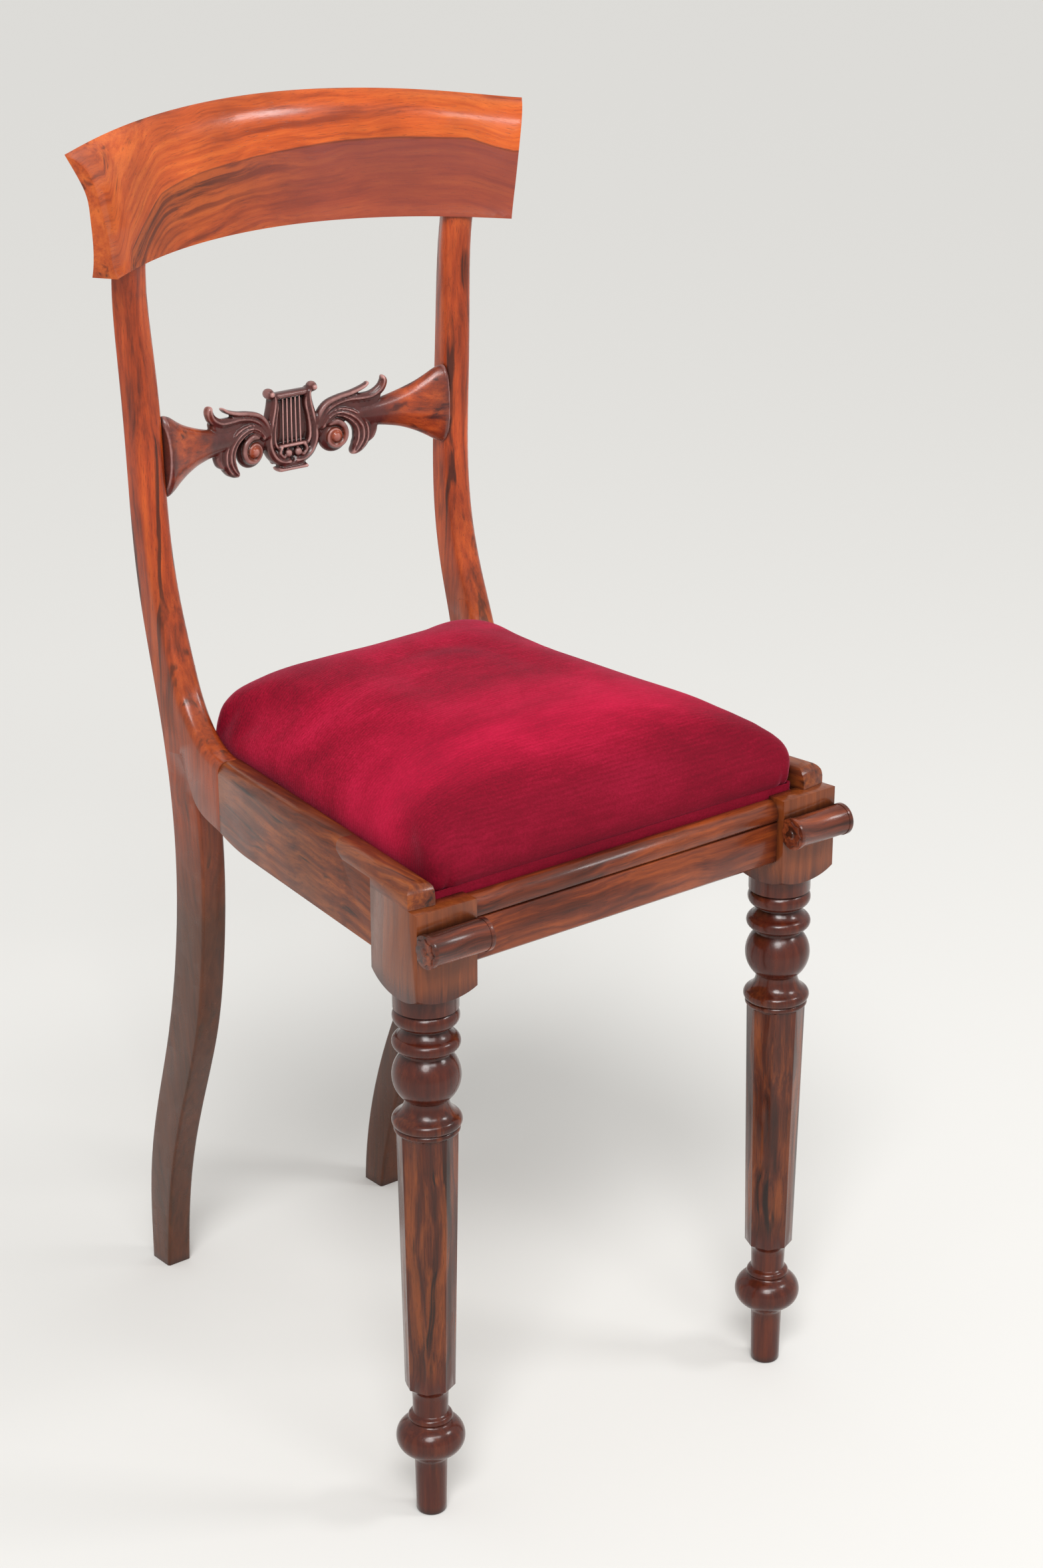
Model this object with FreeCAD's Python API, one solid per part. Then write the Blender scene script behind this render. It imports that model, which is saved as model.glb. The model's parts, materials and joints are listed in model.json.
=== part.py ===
import FreeCAD, Part
import math
import os

os.makedirs("parts", exist_ok=True)
V = FreeCAD.Vector

# All lengths in millimetres. The chair faces -Y, +X is to the right seen from the front, the floor is z = 0.
# The outlines are laid out from one datum behind the front legs; every finished piece is moved at the end,
# so that the origin is on the floor in the middle of the footprint.

# Height of the seat level: the top of the side rails
rail_top_z = 463.0

# Stance of the front legs
leg_y = -93.0
block_inner_x = 131.5
block_front_y = -118.0
block_rear_y = -60.0
block_top_z = rail_top_z - 15.0
block_dome_z = rail_top_z - 80.0
neck_radius = 21.4

# Plan line of the side rails: outer face at the back corner and how much it opens towards the front
side_back_x = 138.0
side_back_y = 200.0
side_opening = 0.1288
rail_bottom_z = rail_top_z - 55.5
rail_width = 20.0
ledge_z = rail_top_z - 38.0
ledge_width = 11.0
shoulder_y = 150.0
shoulder_bottom_z = rail_bottom_z + 5.0
knee_y = 203.0
knee_side_x = 139.7
lip_end_y = -11.0
lip_z = rail_top_z - 9.5
nose_front_y = -107.0
nose_round = 10.0

# Applied rolls on the front blocks
roll_y = -126.0
roll_z = block_top_z - 21.0
roll_radius = 11.0
rosette_height = 1.9

# Front and back rail
front_face_y = -112.0
front_rail_depth = 22.0
front_rail_top_z = block_top_z - 2.0
front_rail_bottom_z = front_rail_top_z - 44.0
front_lip_y = -103.0
back_rail_front_y = 193.0
back_rail_step_y = 204.0
back_rail_back_y = 219.0
back_rail_top_z = rail_top_z - 7.0

# Crown rail: curved in plan about a point on the centre line, so that it crosses the posts at one place
crown_radius = 297.0
crown_post_x = 138.2
crown_post_y = 231.4874
crown_centre_y = crown_post_y - math.sqrt(crown_radius ** 2 - crown_post_x ** 2)
crown_bottom_z = 787.3
crown_bottom_rise = 7.4
crown_end_height = 82.2
crown_mid_height = 89.3
crown_half_bottom = 165.7
crown_end_tilt = 7.0
post_top_z = 790.6

# Cross rail: curved in plan too
cross_radius = 330.0
cross_front_y = 262.0
cross_z = 654.5

# Drop-in seat
seat_clearance = 1.4
seat_gap = 0.3
cover_thickness = 1.2
frame_thickness = 20.0
cushion_top_z = rail_top_z + 55.0
bar_width = 46.0
webbing_width = 48.0
webbing_thickness = 1.0
hessian_thickness = 0.8
soft_gap = 0.3

# Dowels and tacks
dowel_radius = 4.5
seat_dowel_radius = 4.0
tack_radius = 0.9
tack_head_radius = 2.6
tack_head_height = 0.7

back_foot_y = 315.5
origin_y = (roll_y - roll_radius + back_foot_y) / 2.0


def save(name, shape):
    placed = shape.copy()
    placed.translate(V(0, -origin_y, 0))
    placed.exportStep("parts/" + name + ".step")


def mirrored(shape):
    return shape.mirror(V(0, 0, 0), V(1, 0, 0))


def face_of(points):
    return Part.Face(Part.makePolygon(points + [points[0]]))


def fused(shapes):
    whole = shapes[0]
    if len(shapes) > 1:
        whole = whole.fuse(shapes[1:])
    return whole.removeSplitter()


def smooth_loop(points):
    curve = Part.BSplineCurve()
    curve.interpolate(points, PeriodicFlag=True)
    return Part.Wire([curve.toShape()])


def smooth_line(points):
    curve = Part.BSplineCurve()
    curve.interpolate(points)
    return curve.toShape()


def arc_edge(first, middle, last):
    return Part.Arc(first, middle, last).toShape()


def rod(first, last, radius):
    return Part.makeCylinder(radius, (last - first).Length, first, last - first)


# Frame of the right side rail: s runs forward along the rail, q runs inward from its outer face
run = math.sqrt(1.0 + side_opening ** 2)
forward = V(side_opening / run, -1.0 / run, 0)
inward = V(-1.0 / run, -side_opening / run, 0)


def rail_point(y, q, z):
    s = (side_back_y - y) * run
    return V(side_back_x, side_back_y, z) + forward * s + inward * q


def side_prism(outline, q_from, q_to):
    base = rail_point(0, q_from, 0) - rail_point(0, 0, 0)
    points = [rail_point(y, 0, z) + base for y, z in outline]
    return face_of(points).extrude(inward * (q_to - q_from))


def rounded_box_wire(width, depth, front_round, back_round, centre, turn, z):
    half_w = width / 2.0
    half_d = depth / 2.0
    corners = [(-half_w, -half_d, front_round, 180), (half_w, -half_d, front_round, 270),
               (half_w, half_d, back_round, 0), (-half_w, half_d, back_round, 90)]
    spots = []
    for cx, cy, r, start in corners:
        ox = cx + (r if cx < 0 else -r)
        oy = cy + (r if cy < 0 else -r)
        for step in (0, 45, 90):
            a = math.radians(start + step)
            spots.append((ox + r * math.cos(a), oy + r * math.sin(a)))
    c = math.cos(math.radians(turn))
    s = math.sin(math.radians(turn))
    turned = [V(centre[0] + x * c - y * s, centre[1] + x * s + y * c, z) for x, y in spots]
    edges = []
    for k in range(4):
        edges.append(arc_edge(turned[3 * k], turned[3 * k + 1], turned[3 * k + 2]))
        edges.append(Part.LineSegment(turned[3 * k + 2], turned[(3 * k + 3) % 12]).toShape())
    return Part.Wire(edges)


# Back post: sabre leg below the seat, stile above it, turned to face the curve of the crown at the top.
# Each station: height, centre x, back y, front y, width, front corner radius, turn in degrees.
post_stations = [(0, 102, back_foot_y, 293, 20, 2, 0),
                 (50, 104, 312.5, 285.5, 19.5, 2, 0),
                 (100, 107, 302.5, 272, 19.5, 2, 0),
                 (180, 112, 274, 239.5, 19.5, 2, 0),
                 (260, 117.3, 246, 210, 20, 2, 0),
                 (340, 122.8, 228, 193, 20, 2, 0),
                 (420, 128.3, 222, 187, 20, 3, 0),
                 (500, 129.6, 235, 203, 20.5, 7, 0),
                 (580, 130.0, 250.5, 227.5, 21.5, 8, 0),
                 (660, 132.2, 252.5, 232.5, 22, 8, -7),
                 (740, 136, 254, 235.5, 22, 7.5, -19),
                 (post_top_z, crown_post_x, 251.5, 234.5, 22, 7, -26)]


# Outer face of the knee: from the outer face of the side rail to that of the stile
def knee_point(y, z):
    shoulder = rail_point(shoulder_y, 0, z)
    share = (y - shoulder_y) / (knee_y - shoulder_y)
    return shoulder + V(knee_side_x - shoulder.x, knee_y - shoulder_y, 0) * share


def back_post():
    wires = []
    for z, x, back, front, width, front_round, turn in post_stations:
        wires.append(rounded_box_wire(width, back - front, front_round, 2.0, (x, (back + front) / 2.0), turn, z))
    post = Part.makeLoft(wires, True)
    # Knee: the stile sweeps forward into the line of the side rail
    top_run = [(210.5, rail_top_z + 50), (198, rail_top_z + 26), (182, rail_top_z + 9.5), (166, rail_top_z + 2),
               (shoulder_y, rail_top_z)]
    under_run = [(shoulder_y, shoulder_bottom_z), (168, rail_top_z - 47.5), (181, rail_top_z - 43),
                 (190, rail_top_z - 33)]
    top_edge = smooth_line([knee_point(y, z) for y, z in top_run])
    under_edge = smooth_line([knee_point(y, z) for y, z in under_run])
    spine = [under_run[-1], (205, rail_top_z - 11), (218, rail_top_z + 22), (223, rail_top_z + 47), top_run[0]]
    back_points = [knee_point(y, z) for y, z in spine]
    back_edges = [Part.LineSegment(a, b).toShape() for a, b in zip(back_points[:-1], back_points[1:])]
    front_edge = Part.LineSegment(knee_point(shoulder_y, rail_top_z),
                                  knee_point(shoulder_y, shoulder_bottom_z)).toShape()
    outline = Part.Wire([top_edge, front_edge, under_edge] + back_edges)
    knee = Part.Face(outline).extrude(inward * rail_width)
    crest = [e for e in knee.Edges if abs(e.BoundBox.ZMax - top_run[0][1]) < 1 and e.BoundBox.ZMin < rail_top_z + 1]
    knee = knee.makeFillet(6.5, crest)
    return fused([post, knee])


# Section of the side rail: rounded top, ledge for the loose seat on the inside
def rail_section(z_low):
    outer_round = 8.5
    inner_round = 5.0
    k = 1.0 - math.sqrt(0.5)
    outer = [V(0, 0, rail_top_z - outer_round), V(outer_round * k, 0, rail_top_z - outer_round * k),
             V(outer_round, 0, rail_top_z)]
    inner = [V(rail_width - inner_round, 0, rail_top_z),
             V(rail_width - inner_round * k, 0, rail_top_z - inner_round * k),
             V(rail_width, 0, rail_top_z - inner_round)]
    return outer, inner


def swept_rail(y_from, y_to, with_ledge, z_low):
    outer, inner = rail_section(z_low)
    loop = [V(rail_width, 0, z_low), V(0, 0, z_low)]
    if with_ledge:
        loop = [V(rail_width, 0, ledge_z), V(rail_width + ledge_width, 0, ledge_z),
                V(rail_width + ledge_width, 0, z_low), V(0, 0, z_low)]

    def placed(p):
        return rail_point(y_from, p.x, p.z)

    chain = [inner[2]] + loop + [outer[0]]
    edges = [arc_edge(placed(outer[0]), placed(outer[1]), placed(outer[2])),
             Part.LineSegment(placed(outer[2]), placed(inner[0])).toShape(),
             arc_edge(placed(inner[0]), placed(inner[1]), placed(inner[2]))]
    for a, b in zip(chain[:-1], chain[1:]):
        edges.append(Part.LineSegment(placed(a), placed(b)).toShape())
    return Part.Face(Part.Wire(edges)).extrude(forward * ((y_from - y_to) * run))


# Side outline of the leg's lip and nose on top of the side rail
def lip_outline():
    k = nose_round * (1.0 - math.sqrt(0.5))
    nose = [(nose_front_y, rail_top_z - nose_round), (nose_front_y + k * 0.35, rail_top_z - nose_round * 0.55),
            (nose_front_y + k, rail_top_z - k), (nose_front_y + nose_round * 0.55, rail_top_z - k * 0.35),
            (nose_front_y + nose_round, rail_top_z)]
    return nose + [(lip_end_y, rail_top_z + 1), (lip_end_y, rail_top_z - 1), (lip_end_y - 4, lip_z + 4),
                   (lip_end_y - 13, lip_z), (block_rear_y, lip_z), (block_rear_y, block_top_z - 1),
                   (nose_front_y, block_top_z - 1)]


def side_rail():
    rail = swept_rail(shoulder_y, block_rear_y - 12, True, rail_bottom_z)
    lip_space = side_prism([(block_rear_y - 20, lip_z), (lip_end_y - 13, lip_z), (lip_end_y - 4, lip_z + 4),
                            (lip_end_y, rail_top_z - 1), (lip_end_y, rail_top_z + 5),
                            (block_rear_y - 20, rail_top_z + 5)], -5, rail_width + 5)
    block_space = Part.makeBox(120, 80, 120, V(100, block_rear_y - 80, rail_bottom_z - 20))
    # The underside rises a little to meet the knee of the back post
    low = [rail_point(y, -1, z) for y, z in ((shoulder_y - 42, rail_bottom_z), (shoulder_y - 20, rail_bottom_z + 1.3),
                                             (shoulder_y, shoulder_bottom_z))]
    corner = [low[-1], low[-1] - V(0, 0, 20), low[0] - V(0, 0, 20), low[0]]
    edges = [arc_edge(low[0], low[1], low[2])]
    edges += [Part.LineSegment(a, b).toShape() for a, b in zip(corner[:-1], corner[1:])]
    rise = Part.Face(Part.Wire(edges)).extrude(inward * (rail_width + ledge_width + 2))
    return rail.cut([lip_space, block_space, rise])


def front_rail():
    deep = front_face_y + front_rail_depth
    y, z = front_face_y, front_rail_bottom_z
    top = front_rail_top_z
    bead_low = V(0, y, top - 13.5)
    bead_mid = V(0, y - 0.6, top - 7)
    bead_high = V(0, y + 6.5, top)
    corners = [bead_high, V(0, front_lip_y, top), V(0, front_lip_y, ledge_z), V(0, deep, ledge_z), V(0, deep, z),
               V(0, y + 1.5, z), V(0, y, z + 1.5), V(0, y, top - 15), V(0, y + 1.6, top - 14.6), bead_low]
    edges = [arc_edge(bead_low, V(0, y + 0.4, top - 4.5), bead_high)]
    for a, b in zip(corners[:-1], corners[1:]):
        edges.append(Part.LineSegment(a, b).toShape())
    rail = Part.Face(Part.Wire(edges)).extrude(V(2 * block_inner_x, 0, 0))
    rail.translate(V(-block_inner_x, 0, 0))
    return rail


def back_rail(posts):
    reach = 124.0
    outline = [V(-reach, back_rail_front_y, rail_bottom_z), V(-reach, back_rail_back_y, rail_bottom_z),
               V(-reach, back_rail_back_y, back_rail_top_z), V(-reach, back_rail_step_y, back_rail_top_z),
               V(-reach, back_rail_step_y, ledge_z), V(-reach, back_rail_front_y, ledge_z)]
    rail = face_of(outline).extrude(V(2 * reach, 0, 0)).cut(posts)
    return max(rail.Solids, key=lambda piece: piece.Volume)


# The turning stands under the middle of the block
leg_x = (block_inner_x + rail_point(leg_y, 0, 0).x) / 2.0


# Turned outline of the front leg: radius and height, from the peg foot to the neck under the block
def leg_turning():
    outline = [(0, 0), (9.6, 0), (10.2, 1.2)]
    edges = []

    def at(p):
        return V(leg_x + p[0], leg_y, p[1])

    def line(a, b):
        edges.append(Part.LineSegment(at(a), at(b)).toShape())

    def arc(a, m, b):
        edges.append(arc_edge(at(a), at(m), at(b)))

    for a, b in zip(outline[:-1], outline[1:]):
        line(a, b)
    line((10.2, 1.2), (11.0, 40.0))
    arc((11.0, 40.0), (12.6, 43.2), (16.0, 46.0))
    arc((16.0, 46.0), (23.2, 57.5), (15.0, 69.5))
    line((15.0, 69.5), (14.2, 70.5))
    arc((14.2, 70.5), (14.9, 73.2), (13.0, 75.5))
    line((13.0, 75.5), (11.8, 76.5))
    line((11.8, 76.5), (12.2, 92.0))
    line((12.2, 92.0), (16.2, 98.0))
    line((16.2, 98.0), (18.6, 283.0))
    line((18.6, 283.0), (20.4, 285.0))
    arc((20.4, 285.0), (21.7, 286.9), (20.8, 288.8))
    arc((20.8, 288.8), (23.0, 292.6), (20.4, 296.8))
    arc((20.4, 296.8), (16.4, 300.6), (14.6, 305.5))
    line((14.6, 305.5), (14.6, 308.0))
    arc((14.6, 308.0), (22.5, 325.0), (16.0, 340.0))
    line((16.0, 340.0), (16.0, 341.5))
    line((16.0, 341.5), (19.4, 343.6))
    arc((19.4, 343.6), (22.3, 348.4), (18.6, 353.0))
    line((18.6, 353.0), (14.6, 358.0))
    line((14.6, 358.0), (14.6, 360.0))
    arc((14.6, 360.0), (21.8, 367.0), (neck_radius - 2.0, 371.5))
    line((neck_radius - 2.0, 371.5), (neck_radius, 372.5))
    neck_top = block_dome_z + 9.0
    line((neck_radius, 372.5), (neck_radius, neck_top))
    line((neck_radius, neck_top), (0, neck_top))
    line((0, neck_top), (0, 0))
    return Part.Face(Part.Wire(edges)).revolve(V(leg_x, leg_y, 0), V(0, 0, 1), 360)


def octagon(radius, z):
    return Part.makePolygon([V(leg_x + radius * math.cos(math.radians(45 * k)),
                               leg_y + radius * math.sin(math.radians(45 * k)), z) for k in range(9)])


def front_leg():
    shaft = Part.makeLoft([octagon(16.9, 97.0), octagon(20.3, 284.5)], True)
    outer_front = rail_point(block_front_y, 0, 0).x
    outer_rear = rail_point(block_rear_y, 0, 0).x
    plan = [V(block_inner_x, block_front_y, block_dome_z), V(outer_front, block_front_y, block_dome_z),
            V(outer_rear, block_rear_y, block_dome_z), V(block_inner_x, block_rear_y, block_dome_z)]
    block = face_of(plan).extrude(V(0, 0, block_top_z - block_dome_z))
    # The square block is rounded off below to meet the turning
    low = V(leg_x + neck_radius, leg_y, block_dome_z)
    high = V(leg_x + 47, leg_y, block_dome_z + 26)
    bow = arc_edge(low, V(leg_x + 36.5, leg_y, block_dome_z + 8.5), high)
    hub_top = block_top_z + 32.0
    hub = [high, V(leg_x + 47, leg_y, hub_top), V(leg_x, leg_y, hub_top), V(leg_x, leg_y, block_dome_z), low]
    dome_edges = [bow] + [Part.LineSegment(a, b).toShape() for a, b in zip(hub[:-1], hub[1:])]
    dome = Part.Face(Part.Wire(dome_edges)).revolve(V(leg_x, leg_y, 0), V(0, 0, 1), 360)
    block = block.common(dome)
    seat_space = Part.makeBox(60, 60, 40, V(block_inner_x - 5, front_lip_y, ledge_z))
    nose_core = side_prism([(block_front_y - 5, block_dome_z), (block_rear_y + 5, block_dome_z),
                            (block_rear_y + 5, rail_top_z + 20), (block_front_y - 5, rail_top_z + 20)], -5, rail_width)
    block = block.cut(seat_space.cut(nose_core))
    lip = swept_rail(lip_end_y, nose_front_y, False, block_top_z - 1).common(
        side_prism(lip_outline(), -5, rail_width + 5))
    return fused([leg_turning(), shaft, block, lip])


# Applied roll on the block: a cylinder with a flat back, a rosette on each end
def front_roll():
    start = block_inner_x
    length = rail_point(block_front_y, 0, 0).x - start
    axis = V(1, 0, 0)
    bar = Part.makeCylinder(roll_radius - 0.5, length, V(start, roll_y, roll_z), axis)
    parts = [bar]
    for x, way in ((start, -1), (start + length, 1)):
        rim = Part.makeCylinder(roll_radius, 3.0, V(x + (0 if way < 0 else -3.0), roll_y, roll_z), axis)
        petals = []
        for k in range(16):
            r = 9.2 if k % 2 == 0 else 7.4
            a = math.radians(22.5 * k)
            petals.append(V(x, roll_y + r * math.cos(a), roll_z + r * math.sin(a)))
        star = face_of(petals).extrude(V(way * rosette_height * 0.5, 0, 0))
        button = Part.makeCone(4.2, 2.6, rosette_height, V(x, roll_y, roll_z), V(way, 0, 0))
        parts += [rim, star, button]
    roll = fused(parts)
    return roll.cut(Part.makeBox(80, 20, 60, V(start - 10, block_front_y, roll_z - 30)))


# Crown rail: sections standing on radial planes, a little taller in the middle
def crown_rail(posts):
    front_end = [(0, 0), (2.9, 0.16), (3.4, 0.32), (5.6, 0.5), (7.8, 0.65), (12.4, 0.84), (27.0, 0.985)]
    front_mid = [(0, 0), (2.0, 0.16), (2.8, 0.32), (4.4, 0.5), (6.4, 0.65), (9.6, 0.84), (17.6, 0.985)]
    back_end = [(28.6, 1.0), (21.0, 0.82), (16.0, 0.65), (15.2, 0.5), (15.0, 0.33), (15.8, 0.15), (18.0, 0.0)]
    back_mid = [(19.6, 1.0), (17.4, 0.86), (15.6, 0.67), (15.0, 0.5), (15.0, 0.33), (15.8, 0.15), (18.0, 0.0)]
    wires = []
    for degrees in (-40, -33, -25, -15, -5, 5, 15, 25, 33, 40):
        a = math.radians(degrees)
        across = min(1.0, abs(crown_radius * math.sin(a)) / crown_half_bottom)
        blend = across ** 2
        low = crown_bottom_z + crown_bottom_rise * (1.0 - blend)
        height = crown_mid_height + (crown_end_height - crown_mid_height) * blend

        def spot(end, mid):
            rho = mid[0] + (end[0] - mid[0]) * blend
            share = mid[1] + (end[1] - mid[1]) * blend
            r = crown_radius + rho
            return V(r * math.sin(a), crown_centre_y + r * math.cos(a), low + height * share)

        front = [spot(e, m) for e, m in zip(front_end, front_mid)]
        back = [spot(e, m) for e, m in zip(back_end, back_mid)]
        wires.append(Part.Wire([smooth_line(front), Part.LineSegment(front[-1], back[0]).toShape(),
                                smooth_line(back), Part.LineSegment(back[-1], front[0]).toShape()]))
    rail = Part.makeLoft(wires, True)
    half_angle = math.asin(crown_half_bottom / crown_radius)
    tilt = math.radians(crown_end_tilt)
    for side in (-1, 1):
        along = V(side * math.cos(half_angle), -math.sin(half_angle), 0)
        corner = V(side * crown_half_bottom, crown_centre_y + crown_radius * math.cos(half_angle), crown_bottom_z)
        normal = along * math.cos(tilt) - V(0, 0, 1) * math.sin(tilt)
        plane = Part.makePlane(400, 400)
        plane.Placement = FreeCAD.Placement(corner, FreeCAD.Rotation(V(0, 0, 1), normal))
        centre = plane.BoundBox.Center
        plane.translate(corner - centre)
        rail = rail.cut(plane.extrude(normal * 120))
    return rail.cut(posts)


def cross_y(x):
    return cross_front_y - (cross_radius - math.sqrt(cross_radius ** 2 - x * x))


# Carving on the curved cross rail: an outline cut through, its face at one distance from the middle surface
def carved(wire, front, back):
    axis_y = cross_front_y - cross_radius
    slab = Part.makeCylinder(cross_radius + back, 90, V(0, axis_y, 610)).cut(
        Part.makeCylinder(cross_radius - front, 90, V(0, axis_y, 610)))
    face = Part.Face(wire)
    face.translate(V(0, 220 - face.BoundBox.YMin, 0))
    return face.extrude(V(0, 60, 0)).common(slab)


def loop_xz(points):
    return smooth_loop([V(x, 0, z) for x, z in points])


def poly_xz(points):
    return Part.makePolygon([V(x, 0, z) for x, z in points + [points[0]]])


def circle_xz(x, z, r):
    return Part.Wire([Part.Circle(V(x, 0, z), V(0, 1, 0), r).toShape()])


def trumpet():
    stations = [(60, 8.0, 6.5, -1.5), (70, 9.6, 7.0, -1.2), (80, 11.6, 7.8, -0.6), (90, 14.4, 8.4, 0),
                (100, 18.4, 8.9, 0.2), (110, 24.0, 9.4, 0.4), (117, 28.6, 9.7, 0.5), (126, 30.5, 9.8, 0.5)]
    wires = []
    for x, half_height, half_depth, lift in stations:
        centre = V(x, cross_y(x), cross_z + lift)
        ring = Part.Ellipse(centre + V(0, 0, half_height), centre + V(0, half_depth, 0), centre)
        wires.append(Part.Wire([ring.toShape()]))
    return Part.makeLoft(wires, True)


def scroll():
    upper_leaf = [(22, 652), (24.5, 661), (31, 667.5), (42, 671.5), (55, 674), (63, 677), (65.5, 673), (71.5, 675),
                  (75.5, 681), (79.5, 678), (78.5, 671), (72, 664.5), (62, 661), (50, 661), (38, 662), (28, 657)]
    drop_leaf = [(27, 652), (34, 659), (45, 662), (57, 660), (67, 655.5), (70.5, 648), (69, 638.5), (63.5, 630.5),
                 (56, 626), (50.5, 624.5), (47.5, 629.5), (49, 636), (47, 645), (41, 652), (33, 654.5)]
    volute_x, volute_z = 36.0, 641.0
    ring = circle_xz(volute_x, volute_z, 13.0)
    pieces = [carved(loop_xz(upper_leaf), 5.0, 5.5), carved(loop_xz(drop_leaf), 6.5, 6.5), carved(ring, 7.5, 6.0)]
    groove_out = [V(volute_x + (11.6 - 0.013 * t) * math.cos(math.radians(200 - t)), 0,
                    volute_z + (11.6 - 0.013 * t) * math.sin(math.radians(200 - t))) for t in range(0, 361, 30)]
    groove_in = [V(volute_x + (9.8 - 0.013 * t) * math.cos(math.radians(200 - t)), 0,
                   volute_z + (9.8 - 0.013 * t) * math.sin(math.radians(200 - t))) for t in range(360, -1, -30)]
    groove = Part.Wire([smooth_line(groove_out), Part.LineSegment(groove_out[-1], groove_in[0]).toShape(),
                        smooth_line(groove_in), Part.LineSegment(groove_in[-1], groove_out[0]).toShape()])
    leaf_vein = [(30, 659.5), (42, 664.2), (56, 665.5), (68, 669.5), (74, 675.5), (72.8, 676.3), (66, 671.3),
                 (55, 667.3), (41.5, 666), (29.3, 661)]
    drop_vein = [(40, 655.5), (50, 656.5), (58, 652), (61.5, 644), (59.5, 635.5), (60.9, 635), (63.3, 644),
                 (59.4, 653.2), (50.6, 658.2), (39.6, 657)]
    cuts = [carved(groove, 12.0, -4.0), carved(poly_xz(leaf_vein), 9.0, -3.6), carved(poly_xz(drop_vein), 9.0, -4.8)]
    return fused(pieces).cut(cuts)


def lyre():
    body = [(-14.5, 672.5), (-17.2, 667), (-19.8, 658), (-22.3, 648), (-22.0, 639), (-17.5, 630), (-9, 625.5),
            (0, 624.5), (9, 625.5), (17.5, 630), (22.0, 639), (22.3, 648), (19.8, 658), (17.2, 667), (14.5, 672.5),
            (7, 672.5), (-7, 672.5)]
    panel = [(-10.4, 673), (10.4, 673), (12.6, 660), (12.2, 641), (-12.2, 641), (-12.6, 660)]
    pool = [(-12.5, 638), (-13.4, 634), (-9, 629.5), (-2, 628.5), (-3, 633), (3, 633), (2, 628.5), (9, 629.5),
            (13.4, 634), (12.5, 638)]
    frame = carved(loop_xz(body), 6.5, 5.5).cut([carved(poly_xz(panel), 12.0, -1.5), carved(poly_xz(pool), 12.0, -2.5)])
    parts = [frame]
    for k in range(5):
        x = -8.0 + 4.0 * k
        parts.append(carved(poly_xz([(x - 0.7, 640), (x + 0.7, 640), (x * 0.92 + 0.7, 674), (x * 0.92 - 0.7, 674)]),
                            3.6, -0.5))
    parts.append(carved(poly_xz([(-13, 673.5), (13, 673.5), (13, 679), (-13, 679)]), 5.0, 4.5))
    parts.append(carved(poly_xz([(-11.6, 638.6), (11.6, 638.6), (11.6, 641), (-11.6, 641)]), 5.2, -0.5))
    parts.append(carved(poly_xz([(-10.5, 621.8), (10.5, 621.8), (10.5, 624.2), (4, 625.5), (-4, 625.5),
                                 (-10.5, 624.2)]), 6.0, 5.0))
    for side in (-1, 1):
        neck = [(side * 12.5, 671), (side * 17.5, 668), (side * 19.5, 675), (side * 16, 677)]
        parts.append(carved(poly_xz(neck), 6.0, 5.0))
        parts.append(carved(circle_xz(side * 18.3, 678.6, 4.1), 7.5, 5.5))
        parts.append(carved(circle_xz(side * 3.6, 641.6, 1.7), 6.0, -0.5))
        parts.append(carved(circle_xz(side * 4.6, 634.2, 3.2), 5.8, -1.0))
    return fused(parts)


def cross_rail(posts):
    right = [trumpet(), scroll()]
    left = [mirrored(piece) for piece in right]
    bridge = []
    for side in (-1, 1):
        outline = [(side * 19, 637), (side * 27, 634), (side * 27, 652), (side * 19, 650)]
        bridge.append(carved(poly_xz(outline), 4.5, 4.5))
    whole = fused(right + left + bridge + [lyre()])
    trimmed = whole.cut(posts)
    return max(trimmed.Solids, key=lambda piece: piece.Volume)


# Plan outline of the seat frame, grown or shrunk by an amount, corners rounded.
# It fits between the side rails, the front rail's lip and the back rail, with the cover and a clearance all round.
seat_margin = seat_clearance + cover_thickness
seat_front_y = front_lip_y + seat_margin
seat_back_y = back_rail_step_y - seat_margin


def seat_half(y):
    return rail_point(y, 0, 0).x - (rail_width + seat_margin) * run


def seat_wire(grow, z, corner):
    y_front = seat_front_y - grow
    y_back = seat_back_y + grow
    x_front = seat_half(y_front) + grow
    x_back = seat_half(y_back) + grow
    points = [V(-x_front, y_front, z), V(x_front, y_front, z), V(x_back, y_back, z), V(-x_back, y_back, z)]
    edges = []
    starts = []
    for k in range(4):
        here, before, after = points[k], points[k - 1], points[(k + 1) % 4]
        to_before = (before - here).normalize()
        to_after = (after - here).normalize()
        half = to_before.getAngle(to_after) / 2.0
        reach = corner / math.tan(half)
        middle = (to_before + to_after).normalize()
        first = here + to_before * reach
        last = here + to_after * reach
        peak = here + middle * (corner / math.sin(half) - corner)
        starts.append((first, peak, last))
    for k in range(4):
        first, peak, last = starts[k]
        edges.append(arc_edge(first, peak, last))
        edges.append(Part.LineSegment(last, starts[(k + 1) % 4][0]).toShape())
    return Part.Wire(edges)


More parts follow.
